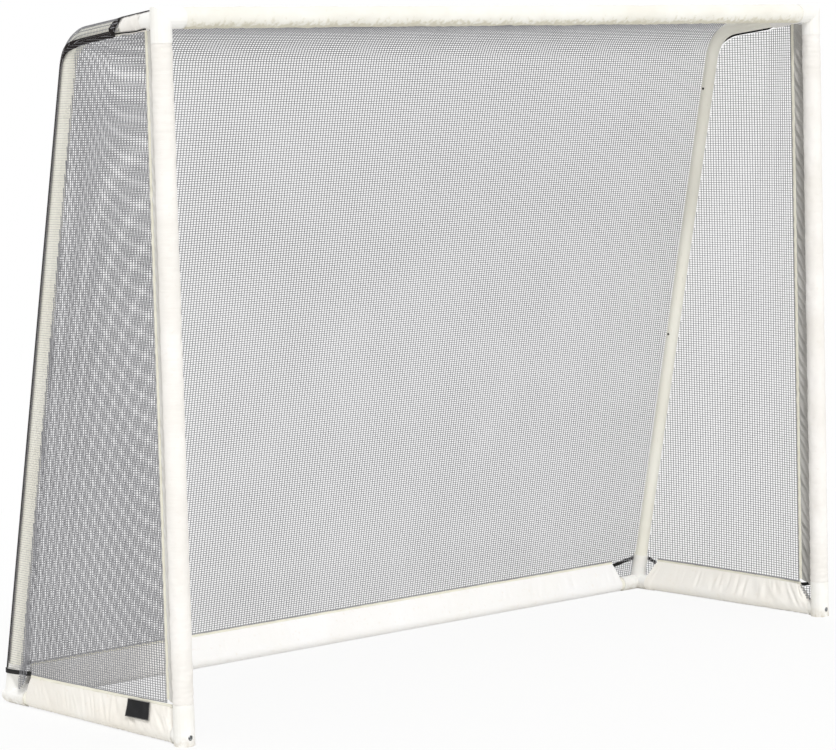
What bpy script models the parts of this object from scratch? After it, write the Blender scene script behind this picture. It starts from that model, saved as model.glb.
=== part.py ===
"""A knock-down soccer goal: sleeved front frame, leaning rear uprights, base tubes in skirts, and netting.

+X runs across the goal, the mouth faces -Y and +Z is up. The origin is on the ground in the middle of the
goal's box. Every piece is its own object, in metres.
"""

from math import acos, atan2, cos, pi, radians, sin, tan

import bmesh
import bpy
from mathutils import Matrix, Vector

# Overall sizes
OVERALL_WIDTH = 2.44
OVERALL_HEIGHT = 1.83
OVERALL_DEPTH = 0.815
TOP_DEPTH = 0.384
SIDE_BAR_DROP = 0.040
BEND_RADIUS = 0.108

# Tubes
FRONT_TUBE_D = 0.050
REAR_TUBE_D = 0.038
TUBE_WALL = 0.0015
NECK_LENGTH = 0.060
MIDDLE_TUBE_LENGTH = 0.80
POST_JOINT_Z = 0.92
UPPER_JOINT_Z = 1.568
LOWER_JOINT_Z = 0.804

# Clearances: round a tube inside another, and between faces that touch
CLEARANCE = 0.0004
GAP = 0.0003

# Fittings: their walls round the tubes, and how far their sockets reach from the corner
FRONT_FITTING_WALL = 0.002
REAR_FITTING_WALL = 0.0035
TOP_SOCKET_REACH = 0.062
REAR_SOCKET_REACH = 0.075
UPRIGHT_SOCKET_REACH = 0.092
TUBE_STOP_MARGIN = 0.007
FOOT_HEIGHT = 0.105
FOOT_STUB_LENGTH = 0.010
FOOT_FLOOR_THICKNESS = 0.0116
SOLE_DEPTH = 0.0005

# Snap buttons and their clips
BUTTON_D = 0.007
BUTTON_PROUD = 0.003
BUTTON_DOME = 0.0021
BUTTON_ABOVE_RING = 0.022
FLANGE_D = 0.0105
FLANGE_THICKNESS = 0.0015
HOLE_CLEARANCE = 0.0003
CLIP_THICKNESS = 0.0008
CLIP_WIDTH = 0.009
CLIP_LENGTH = 0.046
CLIP_PAD = 0.0168
CLIP_BOW = 0.005

# Foot screws and the plugs that they bite into
SCREW_D = 0.006
SCREW_LENGTH = 0.042
SCREW_HEAD_D = 0.013
SCREW_HEAD_HEIGHT = 0.004
SCREW_HEAD_DOME = 0.0024
SCREW_SEAT_DEPTH = 0.0045
PLUG_LENGTH = 0.022
BASE_TUBE_START = 0.004

# Fabric and netting
SIDE_SLEEVE_END = 0.165
TAPE_THICKNESS = 0.002
TAPE_HEIGHT = 0.010
FLAP_THICKNESS = 0.0012
FLAP_WIDTH = 0.041
POST_TAPE_WIDTH = 0.0105
SKIRT_TOP_Z = 0.0857
SKIRT_WALL = 0.0011
SKIRT_TOP_WIDTH = 0.004
SKIRT_REAR_END = 0.088
SKIRT_FRONT_TOP = 0.062
SKIRT_END_SLANT = 0.020
NET_THICKNESS = 0.002
NET_STRAND = 0.008
NET_FULL_SPREAD_LOW = 2 / 3
NET_FULL_SPREAD_HIGH = 1 / 3
BACK_COLUMNS = 13
BACK_ROWS = 8
SIDE_COLUMNS = 3
SIDE_ROWS = 8
STRAP_THICKNESS = 0.0015
STRAP_SLACK = 0.0005
LABEL_WIDTH = 0.088
LABEL_HEIGHT = 0.046
LABEL_THICKNESS = 0.001
LABEL_FROM_POST = 0.142
LABEL_SLACK = 0.0004

# How round the round pieces are
SIDES = 20
SMALL_SIDES = 12
DOME_STEPS = 2
BEND_STEPS = 8
STRAP_STEPS = 6
SKIRT_STEPS = 4
SKIRT_FLANK_POINTS = 4
SHARP_ANGLE = radians(40)
MERGE = 0.0001
CUT_MARGIN = 0.01
GROUND_DEPTH = 0.1

# Places worked out from the sizes
FRONT_TUBE_R = FRONT_TUBE_D / 2
REAR_TUBE_R = REAR_TUBE_D / 2
FRONT_FITTING_R = FRONT_TUBE_R + FRONT_FITTING_WALL
REAR_FITTING_R = REAR_TUBE_R + REAR_FITTING_WALL
FRONT_BORE_R = FRONT_TUBE_R + CLEARANCE
REAR_BORE_R = REAR_TUBE_R + CLEARANCE
HALF_SPAN = OVERALL_WIDTH / 2 - FRONT_FITTING_R
FRONT_Y = -OVERALL_DEPTH / 2 + FRONT_FITTING_R
REAR_Y = OVERALL_DEPTH / 2 - REAR_FITTING_R
BAR_Z = OVERALL_HEIGHT - FRONT_FITTING_R
BASE_Z = REAR_FITTING_R - SOLE_DEPTH
TUBE_STOP = max(FRONT_TUBE_R, REAR_TUBE_R) + TUBE_STOP_MARGIN
FOOT_SOCKET_REACH = FRONT_FITTING_R + FOOT_STUB_LENGTH
FOOT_SOCKET_FLOOR = BASE_Z + REAR_BORE_R + FOOT_FLOOR_THICKNESS
SCREW_SEAT = FRONT_FITTING_R - SCREW_SEAT_DEPTH
NET_MIDDLE = REAR_FITTING_R + GAP + NET_THICKNESS / 2
NET_OUTSIDE = NET_MIDDLE + NET_THICKNESS / 2
TAPE_Z = SKIRT_TOP_Z + GAP + TAPE_HEIGHT / 2
NET_FRONT_Y = FRONT_Y + FRONT_FITTING_R + FLAP_WIDTH + POST_TAPE_WIDTH + 2 * GAP

# The side frame's line, in the YZ plane: front corner, bend corner, rear corner
FRONT_CORNER = Vector((0, FRONT_Y, BAR_Z))
BEND_CORNER = Vector((0, FRONT_Y + TOP_DEPTH, BAR_Z - SIDE_BAR_DROP))
REAR_CORNER = Vector((0, REAR_Y, BASE_Z))
BAR_DIRECTION = (BEND_CORNER - FRONT_CORNER).normalized()
UPRIGHT_DIRECTION = (BEND_CORNER - REAR_CORNER).normalized()
BAR_OUTWARD = Vector((0, -BAR_DIRECTION.z, BAR_DIRECTION.y))
UPRIGHT_OUTWARD = Vector((0, UPRIGHT_DIRECTION.z, -UPRIGHT_DIRECTION.y))
NET_BOTTOM_Z = SKIRT_TOP_Z + TAPE_HEIGHT + 2 * GAP + UPRIGHT_OUTWARD.z * NET_THICKNESS / 2
BEND_ANGLE = BAR_DIRECTION.angle(-UPRIGHT_DIRECTION)
BEND_TANGENT = BEND_RADIUS * tan(BEND_ANGLE / 2)
BEND_START = BEND_CORNER - BAR_DIRECTION * BEND_TANGENT
BEND_END = BEND_CORNER - UPRIGHT_DIRECTION * BEND_TANGENT

WHITE_STEEL = ("white_steel", (0.87, 0.86, 0.80), 0.38, 0.0)
WHITE_FITTING = ("white_fitting", (0.90, 0.90, 0.88), 0.45, 0.0)
WHITE_FABRIC = ("white_fabric", (0.93, 0.92, 0.90), 0.85, 0.0)
CREAM_TAPE = ("cream_tape", (0.86, 0.84, 0.76), 0.90, 0.0)
GREY_NET = ("grey_net", (0.16, 0.16, 0.17), 0.80, 0.0)
BLACK_WEBBING = ("black_webbing", (0.03, 0.03, 0.03), 0.85, 0.0)
SPRING_STEEL = ("spring_steel", (0.55, 0.56, 0.58), 0.30, 1.0)
DARK_STEEL = ("dark_steel", (0.12, 0.12, 0.12), 0.45, 1.0)


def clear_scene():
    for obj in list(bpy.data.objects):
        bpy.data.objects.remove(obj, do_unlink=True)


def new_collection(name):
    collection = bpy.data.collections.new(name)
    bpy.context.scene.collection.children.link(collection)
    return collection


def material(name, colour, roughness, metallic):
    """The Principled material of this name, made the first time it is asked for."""
    if name in bpy.data.materials:
        return bpy.data.materials[name]
    made = bpy.data.materials.new(name)
    made.use_nodes = True
    shader = made.node_tree.nodes["Principled BSDF"]
    shader.inputs["Base Color"].default_value = (*colour, 1.0)
    shader.inputs["Roughness"].default_value = roughness
    shader.inputs["Metallic"].default_value = metallic
    made.diffuse_color = (*colour, 1.0)
    return made


def new_object(name, data, finish):
    """An object in the goal's collection, or in the cutters' where finish is None."""
    obj = bpy.data.objects.new(name, data)
    if finish is None:
        CUTTERS.objects.link(obj)
        obj.hide_render = True
        obj.display_type = "WIRE"
        return obj
    data.materials.append(material(f"{finish[0]}_{name}", *finish[1:]))
    GOAL.objects.link(obj)
    return obj


def frame_at(origin, direction, across=Vector((1, 0, 0))):
    """A matrix that puts local Z along direction, and local X as near to across as it can be."""
    z = direction.normalized()
    y = z.cross(across).normalized()
    x = y.cross(z)
    matrix = Matrix((x, y, z)).transposed().to_4x4()
    matrix.translation = origin
    return matrix


def turned(name, finish, outline, place, sides=SIDES, closed=True):
    """A turned solid. The outline is (radius, height), down the outer side, then up the inner one."""
    mesh = bpy.data.meshes.new(name)
    count = len(outline)
    edges = [(i, i + 1) for i in range(count - 1)]
    if closed:
        edges.append((count - 1, 0))
    mesh.from_pydata([(radius, 0, height) for radius, height in outline], edges, [])
    obj = new_object(name, mesh, finish)
    obj.matrix_world = place
    screw = obj.modifiers.new("Turn", "SCREW")
    screw.steps = sides
    screw.render_steps = sides
    screw.use_merge_vertices = True
    screw.merge_threshold = MERGE
    screw.use_smooth_shade = True
    return obj


def dome(radius, top, rise):
    """The outline of a low dome: from its top on the axis to its edge."""
    points = []
    for step in range(DOME_STEPS + 1):
        angle = pi / 2 * step / DOME_STEPS
        points.append((radius * sin(angle), top - rise * (1 - cos(angle))))
    return points


def cylinder(name, finish, radius, start, end, place, sides=SIDES):
    """A solid cylinder along local Z, from height start to height end."""
    bm = bmesh.new()
    bmesh.ops.create_cone(
        bm,
        cap_ends=True,
        segments=sides,
        radius1=radius,
        radius2=radius,
        depth=end - start,
        matrix=Matrix.Translation((0, 0, (start + end) / 2)),
    )
    mesh = bpy.data.meshes.new(name)
    bm.to_mesh(mesh)
    bm.free()
    mesh.shade_smooth()
    mesh.set_sharp_from_angle(angle=SHARP_ANGLE)
    obj = new_object(name, mesh, finish)
    obj.matrix_world = place
    return obj


def box(name, finish, low, high):
    """A box between two corners, with its origin in its middle."""
    low = Vector(low)
    high = Vector(high)
    size = high - low
    bm = bmesh.new()
    bmesh.ops.create_cube(bm, size=1.0, matrix=Matrix.Diagonal((*size, 1.0)))
    mesh = bpy.data.meshes.new(name)
    bm.to_mesh(mesh)
    bm.free()
    obj = new_object(name, mesh, finish)
    obj.location = (low + high) / 2
    return obj


def boolean(obj, other, operation):
    modifier = obj.modifiers.new(f"{operation.title()} {other.name}", "BOOLEAN")
    modifier.operation = operation
    modifier.object = other
    modifier.solver = "EXACT"


def as_mesh(curve, name, finish):
    """The evaluated curve as a mesh object of its own; the curve goes."""
    graph = bpy.context.evaluated_depsgraph_get()
    mesh = bpy.data.meshes.new_from_object(curve.evaluated_get(graph))
    mesh.name = name
    place = curve.matrix_world.copy()
    bm = bmesh.new()
    bm.from_mesh(mesh)
    bmesh.ops.remove_doubles(bm, verts=bm.verts, dist=MERGE / 10)
    bm.to_mesh(mesh)
    bm.free()
    bpy.data.objects.remove(curve, do_unlink=True)
    mesh.materials.clear()
    obj = new_object(name, mesh, finish)
    obj.matrix_world = place
    return obj


def poly_curve(name, points, cyclic=False):
    curve = bpy.data.curves.new(name, "CURVE")
    curve.dimensions = "3D"
    spline = curve.splines.new("POLY")
    spline.points.add(len(points) - 1)
    for slot, point in zip(spline.points, points):
        slot.co = (*point, 1.0)
    spline.use_cyclic_u = cyclic
    obj = bpy.data.objects.new(name, curve)
    bpy.context.scene.collection.objects.link(obj)
    return obj


def thicken(obj, thickness, offset):
    modifier = obj.modifiers.new("Thickness", "SOLIDIFY")
    modifier.thickness = thickness
    modifier.offset = offset
    modifier.use_even_offset = True


def straight_tube(name, radius, length, place, neck_below=False, neck_above=False):
    """A tube from local height 0 to length, with a swaged neck past either end."""
    bore = radius - TUBE_WALL
    neck = bore - CLEARANCE
    outside = [(radius, length), (radius, 0)]
    inside = [(bore, 0), (bore, length)]
    if neck_above:
        outside = [(neck, length + NECK_LENGTH), (neck, length)] + outside
        inside[1:] = [
            (bore, length - TUBE_WALL),
            (neck - TUBE_WALL, length - TUBE_WALL),
            (neck - TUBE_WALL, length + NECK_LENGTH),
        ]
    if neck_below:
        outside += [(neck, 0), (neck, -NECK_LENGTH)]
        inside[:1] = [
            (neck - TUBE_WALL, -NECK_LENGTH),
            (neck - TUBE_WALL, TUBE_WALL),
            (bore, TUBE_WALL),
        ]
    return turned(name, WHITE_STEEL, outside + inside, place)


def elbow(name, finish, radius, reach, corner, leg, other_leg):
    """Two legs of one radius that meet in a mitre at the corner: one leg, mirrored in the mitre's plane."""
    plane = bpy.data.objects.new(f"{name}_mitre", None)
    CUTTERS.objects.link(plane)
    across = (leg - other_leg).normalized()
    plane.matrix_world = frame_at(corner, leg.cross(other_leg), across)
    obj = cylinder(name, finish, radius, -2 * radius, reach, frame_at(corner, leg, leg.cross(other_leg)))
    mirror = obj.modifiers.new("Mitre", "MIRROR")
    mirror.mirror_object = plane
    mirror.use_axis = (True, False, False)
    mirror.use_bisect_axis = (True, False, False)
    mirror.merge_threshold = MERGE
    return obj


def side_name(side):
    return "left" if side < 0 else "right"


def in_side_plane(side, point):
    """A point of the side frame's YZ line, moved out to that side's frame."""
    return Vector((side * HALF_SPAN, point.y, point.z))


def upright_point(height):
    """The point of the upright's axis at this height."""
    along = (height - REAR_CORNER.z) / UPRIGHT_DIRECTION.z
    return REAR_CORNER + UPRIGHT_DIRECTION * along


def upright_frame(side, height):
    """Local Z up the upright, and local X towards the middle of the goal."""
    return frame_at(in_side_plane(side, upright_point(height)), UPRIGHT_DIRECTION, Vector((-side, 0, 0)))


def post_tubes(side):
    name = side_name(side)
    foot = Vector((side * HALF_SPAN, FRONT_Y, FOOT_SOCKET_FLOOR + GAP))
    joint = Vector((side * HALF_SPAN, FRONT_Y, POST_JOINT_Z + GAP))
    up = Vector((0, 0, 1))
    straight_tube(
        f"{name}_post_lower_tube",
        FRONT_TUBE_R,
        POST_JOINT_Z - foot.z,
        frame_at(foot, up),
        neck_above=True,
    )
    straight_tube(
        f"{name}_post_upper_tube", FRONT_TUBE_R, BAR_Z - TUBE_STOP - joint.z, frame_at(joint, up)
    )


def crossing_tubes(name, radius, y, z):
    """Three tubes across the goal: the outer two slide over the middle one's necks."""
    across = Vector((1, 0, 0))
    hint = Vector((0, 0, 1))
    half_middle = MIDDLE_TUBE_LENGTH / 2
    outer_length = HALF_SPAN - TUBE_STOP - half_middle - GAP
    straight_tube(
        f"{name}_middle_tube",
        radius,
        MIDDLE_TUBE_LENGTH,
        frame_at(Vector((-half_middle, y, z)), across, hint),
        neck_below=True,
        neck_above=True,
    )
    for side in (-1, 1):
        start = Vector((side * (half_middle + GAP), y, z))
        place = frame_at(start, across * side, hint)
        straight_tube(f"{name}_{side_name(side)}_tube", radius, outer_length, place)


def bend_point(angle):
    """A point of the bent tube's axis, this far round the bend."""
    along = BAR_DIRECTION * BEND_RADIUS * sin(angle)
    inward = -BAR_OUTWARD * BEND_RADIUS * (1 - cos(angle))
    return BEND_START + along + inward


def button_hole(side, ring_height):
    """The cutter for a snap button's hole, through both tubes at the joint."""
    place = button_frame(side, ring_height)
    radius = BUTTON_D / 2 + HOLE_CLEARANCE
    name = f"{side_name(side)}_button_hole_{ring_height:.3f}"
    return cylinder(name, None, radius, REAR_TUBE_R / 2, REAR_TUBE_R + CUT_MARGIN, place, SMALL_SIDES)


def button_frame(side, ring_height):
    """Origin on the tube's axis at the button, local Z out through the hole."""
    axis_point = upright_point(ring_height) + UPRIGHT_DIRECTION * BUTTON_ABOVE_RING
    inward = Vector((-side, 0, 0))
    return frame_at(in_side_plane(side, axis_point), inward, UPRIGHT_DIRECTION)


def side_tubes(side):
    """The bent top tube and the two upright tubes under it. Each slides over the neck of the next."""
    name = side_name(side)
    start = FRONT_CORNER + BAR_DIRECTION * TUBE_STOP
    end = upright_point(UPPER_JOINT_Z) + UPRIGHT_DIRECTION * GAP
    arc = [bend_point(BEND_ANGLE * step / BEND_STEPS) for step in range(BEND_STEPS + 1)]
    line = poly_curve(f"{name}_bend_line", [in_side_plane(side, point) for point in [start, *arc, end]])
    line.data.bevel_depth = REAR_TUBE_R
    line.data.bevel_resolution = (SIDES - 4) // 2
    bend = as_mesh(line, f"{name}_side_bend_tube", WHITE_STEEL)
    bend.data.shade_smooth()
    thicken(bend, TUBE_WALL, -1)
    upper_hole = button_hole(side, UPPER_JOINT_Z)
    lower_hole = button_hole(side, LOWER_JOINT_Z)
    boolean(bend, upper_hole, "DIFFERENCE")

    upper_length = (UPPER_JOINT_Z - LOWER_JOINT_Z) / UPRIGHT_DIRECTION.z - GAP
    upper_place = upright_frame(side, LOWER_JOINT_Z) @ Matrix.Translation((0, 0, GAP))
    upper = straight_tube(
        f"{name}_upright_upper_tube", REAR_TUBE_R, upper_length, upper_place, neck_above=True
    )
    boolean(upper, upper_hole, "DIFFERENCE")
    boolean(upper, lower_hole, "DIFFERENCE")

    full_length = (LOWER_JOINT_Z - BASE_Z) / UPRIGHT_DIRECTION.z
    lower_place = upright_frame(side, BASE_Z) @ Matrix.Translation((0, 0, TUBE_STOP))
    lower = straight_tube(
        f"{name}_upright_lower_tube",
        REAR_TUBE_R,
        full_length - TUBE_STOP,
        lower_place,
        neck_above=True,
    )
    boolean(lower, lower_hole, "DIFFERENCE")


def snap_button(side, level, ring_height):
    """A domed pin with a flange that stops it inside the neck. It slides along its own axis."""
    neck_bore = REAR_TUBE_R - TUBE_WALL - CLEARANCE - TUBE_WALL
    flange_top = (neck_bore**2 - (FLANGE_D / 2) ** 2) ** 0.5 - GAP
    radius = BUTTON_D / 2
    outline = [
        *dome(radius, REAR_TUBE_R + BUTTON_PROUD, BUTTON_DOME),
        (radius, flange_top),
        (FLANGE_D / 2, flange_top),
        (FLANGE_D / 2, flange_top - FLANGE_THICKNESS),
        (0, flange_top - FLANGE_THICKNESS),
    ]
    place = button_frame(side, ring_height)
    turned(f"{side_name(side)}_{level}_button", DARK_STEEL, outline, place, SMALL_SIDES, closed=False)
    spring_clip(side, level, place, flange_top - FLANGE_THICKNESS - GAP, neck_bore)


def spring_clip(side, level, place, leg_top, neck_bore):
    """The V clip that pushes the button out. Local X runs up the tube and local Z out to the button."""
    upper = leg_top - CLIP_THICKNESS / 2
    lower = -((neck_bore**2 - (CLIP_WIDTH / 2) ** 2) ** 0.5) + GAP + CLIP_THICKNESS / 2
    end = CLIP_PAD / 2
    bow = CLIP_LENGTH - CLIP_BOW
    points = [
        (end, 0, upper),
        (-end, 0, upper),
        (-bow, 0, 0),
        (-CLIP_LENGTH, 0, lower / 2),
        (-bow, 0, lower),
        (end, 0, lower),
    ]
    strip = bmesh.new()
    half = Vector((0, CLIP_WIDTH / 2, 0))
    rows = [[strip.verts.new(Vector(point) + half * way) for way in (-1, 1)] for point in points]
    for (a, b), (c, d) in zip(rows, rows[1:]):
        strip.faces.new((a, b, d, c))
    name = f"{side_name(side)}_{level}_button_clip"
    mesh = bpy.data.meshes.new(name)
    strip.to_mesh(mesh)
    strip.free()
    obj = new_object(name, mesh, SPRING_STEEL)
    obj.matrix_world = place
    thicken(obj, CLIP_THICKNESS, 0)


def top_corner(side):
    """Mitred elbow for post and crossbar, with a smaller socket to the rear for the side tube."""
    name = f"{side_name(side)}_top_corner"
    corner = in_side_plane(side, FRONT_CORNER)
    down = Vector((0, 0, -1))
    inward = Vector((-side, 0, 0))
    body = elbow(name, WHITE_FITTING, FRONT_FITTING_R, TOP_SOCKET_REACH, corner, down, inward)
    rear_place = frame_at(corner, BAR_DIRECTION)
    stub = cylinder(f"{name}_stub", None, REAR_FITTING_R, 0, TOP_SOCKET_REACH, rear_place)
    bore = elbow(
        f"{name}_bore", None, FRONT_BORE_R, TOP_SOCKET_REACH + CUT_MARGIN, corner, down, inward
    )
    rear_bore = cylinder(
        f"{name}_rear_bore", None, REAR_BORE_R, 0, TOP_SOCKET_REACH + CUT_MARGIN, rear_place
    )
    boolean(body, stub, "UNION")
    boolean(body, bore, "DIFFERENCE")
    boolean(body, rear_bore, "DIFFERENCE")


def rear_corner(side, ground):
    """Mitred elbow for the base tubes, with a leaning socket for the upright and a flat sole."""
    name = f"{side_name(side)}_rear_corner"
    corner = in_side_plane(side, REAR_CORNER)
    forward = Vector((0, -1, 0))
    inward = Vector((-side, 0, 0))
    body = elbow(name, WHITE_FITTING, REAR_FITTING_R, REAR_SOCKET_REACH, corner, forward, inward)
    half_facet = Matrix.Rotation(pi / SIDES, 4, "Z")
    lean_place = upright_frame(side, BASE_Z) @ half_facet
    stub = cylinder(f"{name}_stub", None, REAR_FITTING_R, 0, UPRIGHT_SOCKET_REACH, lean_place)
    bore = elbow(
        f"{name}_bore", None, REAR_BORE_R, REAR_SOCKET_REACH + CUT_MARGIN, corner, forward, inward
    )
    lean_bore = cylinder(
        f"{name}_lean_bore", None, REAR_BORE_R, 0, UPRIGHT_SOCKET_REACH + CUT_MARGIN, lean_place
    )
    boolean(body, stub, "UNION")
    boolean(body, bore, "DIFFERENCE")
    boolean(body, lean_bore, "DIFFERENCE")
    boolean(body, ground, "DIFFERENCE")


def front_foot(side, ground):
    """A round foot: the post stands in it, the base tube enters from behind, a screw from the front."""
    name = f"{side_name(side)}_front_foot"
    base = Vector((side * HALF_SPAN, FRONT_Y, 0))
    axis = base + Vector((0, 0, BASE_Z))
    upright = frame_at(base, Vector((0, 0, 1)))
    back = Vector((0, 1, 0))
    body = cylinder(name, WHITE_FITTING, FRONT_FITTING_R, 0, FOOT_HEIGHT, upright)
    behind = frame_at(axis, back)
    stub = cylinder(f"{name}_stub", None, REAR_FITTING_R, 0, FOOT_SOCKET_REACH, behind)
    socket = cylinder(
        f"{name}_socket", None, FRONT_BORE_R, FOOT_SOCKET_FLOOR, FOOT_HEIGHT + CUT_MARGIN, upright
    )
    bore = cylinder(
        f"{name}_bore", None, REAR_BORE_R, BASE_TUBE_START - GAP, FOOT_SOCKET_REACH + CUT_MARGIN, behind
    )
    screw_r = SCREW_D / 2 + CLEARANCE
    hole = cylinder(f"{name}_hole", None, screw_r, -FRONT_FITTING_R, CUT_MARGIN, behind, SMALL_SIDES)
    seat_r = SCREW_HEAD_D / 2 + 2 * CLEARANCE
    seat = cylinder(
        f"{name}_seat", None, seat_r, -FRONT_FITTING_R - CUT_MARGIN, -SCREW_SEAT, behind, SMALL_SIDES
    )
    boolean(body, stub, "UNION")
    boolean(body, socket, "DIFFERENCE")
    boolean(body, bore, "DIFFERENCE")
    boolean(body, hole, "DIFFERENCE")
    boolean(body, seat, "DIFFERENCE")
    boolean(body, ground, "DIFFERENCE")


def foot_screw(side):
    """A pan-head screw through the foot's front, and the plug in the base tube that it bites into."""
    name = side_name(side)
    axis = Vector((side * HALF_SPAN, FRONT_Y, BASE_Z))
    forward = Vector((0, -1, 0))
    head_r = SCREW_HEAD_D / 2
    shank_r = SCREW_D / 2
    outline = [
        *dome(head_r, SCREW_HEAD_HEIGHT, SCREW_HEAD_DOME),
        (head_r, 0),
        (shank_r, 0),
        (shank_r, -SCREW_LENGTH),
        (0, -SCREW_LENGTH),
    ]
    seat = frame_at(axis + forward * (SCREW_SEAT + GAP), forward)
    turned(f"{name}_foot_screw", DARK_STEEL, outline, seat, SMALL_SIDES, closed=False)
    plug_r = REAR_TUBE_R - TUBE_WALL - CLEARANCE
    bore_r = shank_r + CLEARANCE
    plug = [(plug_r, PLUG_LENGTH), (plug_r, 0), (bore_r, 0), (bore_r, PLUG_LENGTH)]
    start = frame_at(axis - forward * BASE_TUBE_START, -forward)
    turned(f"{name}_base_tube_plug", DARK_STEEL, plug, start)


def base_side_tube(side):
    start = Vector((side * HALF_SPAN, FRONT_Y + BASE_TUBE_START, BASE_Z))
    length = REAR_Y - TUBE_STOP - start.y
    straight_tube(
        f"{side_name(side)}_base_tube", REAR_TUBE_R, length, frame_at(start, Vector((0, 1, 0)))
    )


def sleeve(name, radius, outer_radius, length, place):
    """A plain round sleeve along local Z."""
    outline = [(outer_radius, length), (outer_radius, 0), (radius, 0), (radius, length)]
    return turned(name, WHITE_FABRIC, outline, place)


def frame_sleeves():
    up = Vector((0, 0, 1))
    across = Vector((1, 0, 0))
    bar_half = HALF_SPAN - TOP_SOCKET_REACH - GAP
    bar_place = frame_at(Vector((-bar_half, FRONT_Y, BAR_Z)), across, up)
    sleeve("crossbar_sleeve", FRONT_BORE_R, FRONT_FITTING_R, 2 * bar_half, bar_place)
    for side in (-1, 1):
        post_sleeve(side)
        start = FRONT_CORNER + BAR_DIRECTION * (TOP_SOCKET_REACH + GAP)
        length = SIDE_SLEEVE_END - TOP_SOCKET_REACH - GAP
        place = frame_at(in_side_plane(side, start), BAR_DIRECTION)
        sleeve(f"{side_name(side)}_side_sleeve", REAR_BORE_R, REAR_FITTING_R, length, place)


def post_sleeve(side):
    """A post's sleeve with the flap behind it, and the hem tape on the flap that carries the side net."""
    name = side_name(side)
    x = side * HALF_SPAN
    low_z = FOOT_HEIGHT + GAP
    high_z = BAR_Z - TOP_SOCKET_REACH - GAP
    flap_y = FRONT_Y + FRONT_FITTING_R
    place = frame_at(Vector((x, FRONT_Y, low_z)), Vector((0, 0, 1)))
    body = sleeve(f"{name}_post_sleeve", FRONT_BORE_R, FRONT_FITTING_R, high_z - low_z, place)
    root_y = (flap_y + FRONT_Y + FRONT_BORE_R) / 2
    flap_end = flap_y + FLAP_WIDTH
    low = (x - FLAP_THICKNESS / 2, root_y, low_z)
    high = (x + FLAP_THICKNESS / 2, flap_end, high_z)
    boolean(body, box(f"{name}_flap", None, low, high), "UNION")
    low = (x - TAPE_THICKNESS / 2, flap_end + GAP, low_z)
    high = (x + TAPE_THICKNESS / 2, flap_end + GAP + POST_TAPE_WIDTH, high_z)
    box(f"{name}_post_hem_tape", CREAM_TAPE, low, high)


def net_spread(share, height_share):
    """How far out of the post's plane the side net lies, from 0 at the hem tape to 1 at the tubes."""
    full_at = NET_FULL_SPREAD_LOW + (NET_FULL_SPREAD_HIGH - NET_FULL_SPREAD_LOW) * height_share
    return min(1.0, share / full_at)


def kink_y():
    """Where the side net's lower edge has come out as far as the tubes, and runs straight on."""
    return NET_FRONT_Y + (net_rear_bottom().y - NET_FRONT_Y) * NET_FULL_SPREAD_LOW


def side_spread_at(y):
    """The side net's outward place along its bottom edge, in metres from the frame's plane."""
    share = (y - NET_FRONT_Y) / (net_rear_bottom().y - NET_FRONT_Y)
    return NET_MIDDLE * net_spread(max(0.0, share), 0.0)


def roof_break():
    """Where the roof net and the shoulder net meet, in the YZ plane."""
    reach = (BEND_RADIUS + NET_MIDDLE) * tan(BEND_ANGLE / 4)
    return BEND_START + BAR_OUTWARD * NET_MIDDLE + BAR_DIRECTION * reach


def back_break():
    """Where the shoulder net and the back net meet, in the YZ plane."""
    reach = (BEND_RADIUS + NET_MIDDLE) * tan(BEND_ANGLE / 4)
    return BEND_END + UPRIGHT_OUTWARD * NET_MIDDLE + UPRIGHT_DIRECTION * reach


def net_rear_bottom(out=NET_MIDDLE):
    """The back net's lower edge, in the YZ plane, at this distance outside the uprights' axes."""
    point = REAR_CORNER + UPRIGHT_OUTWARD * out
    return point + UPRIGHT_DIRECTION * ((NET_BOTTOM_Z - point.z) / UPRIGHT_DIRECTION.z)


def net(name, grid):
    """A flat net through a grid of points: each cell is inset by half a strand and its middle taken out."""
    bm = bmesh.new()
    rows = [[bm.verts.new(point) for point in row] for row in grid]
    cells = []
    for low, high in zip(rows, rows[1:]):
        for a, b, c, d in zip(low, low[1:], high[1:], high):
            cells.append(bm.faces.new((a, b, c, d)))
    bm.normal_update()
    bmesh.ops.inset_individual(bm, faces=cells, thickness=NET_STRAND / 2, use_even_offset=True)
    bmesh.ops.delete(bm, geom=cells, context="FACES")
    mesh = bpy.data.meshes.new(name)
    bm.to_mesh(mesh)
    bm.free()
    obj = new_object(name, mesh, GREY_NET)
    thicken(obj, NET_THICKNESS, 0)
    return obj


def flat_net(name, half_width, start, end, rows):
    """A flat panel across the goal, from one point of the YZ plane to another."""
    grid = []
    for row in range(rows + 1):
        point = start.lerp(end, row / rows)
        xs = [half_width * (2 * column / BACK_COLUMNS - 1) for column in range(BACK_COLUMNS + 1)]
        grid.append([Vector((x, point.y, point.z)) for x in xs])
    net(name, grid)


def back_nets():
    """The main net in three flat runs: roof, shoulder over the bends, and back."""
    half_width = HALF_SPAN + NET_MIDDLE - NET_THICKNESS / 2 - GAP
    roof_end = roof_break()
    back_start = back_break()
    trim = NET_THICKNESS / 2 * tan(BEND_ANGLE / 4) + GAP
    rise = NET_MIDDLE / cos(atan2(-BAR_DIRECTION.z, BAR_DIRECTION.y)) - NET_THICKNESS / 2
    sleeve_y = FRONT_Y + (FRONT_FITTING_R**2 - (rise - TAPE_THICKNESS) ** 2) ** 0.5
    back_along = (sleeve_y + GAP - roof_end.y) / BAR_DIRECTION.y
    roof_start = roof_end + BAR_DIRECTION * back_along
    shoulder = (back_start - roof_end).normalized()
    flat_net("roof_net", half_width, roof_start, roof_end - BAR_DIRECTION * trim, 1)
    flat_net("shoulder_net", half_width, roof_end + shoulder * trim, back_start - shoulder * trim, 1)
    down = -UPRIGHT_DIRECTION
    flat_net("back_net", half_width, back_start + down * trim, net_rear_bottom(), BACK_ROWS)


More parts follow.
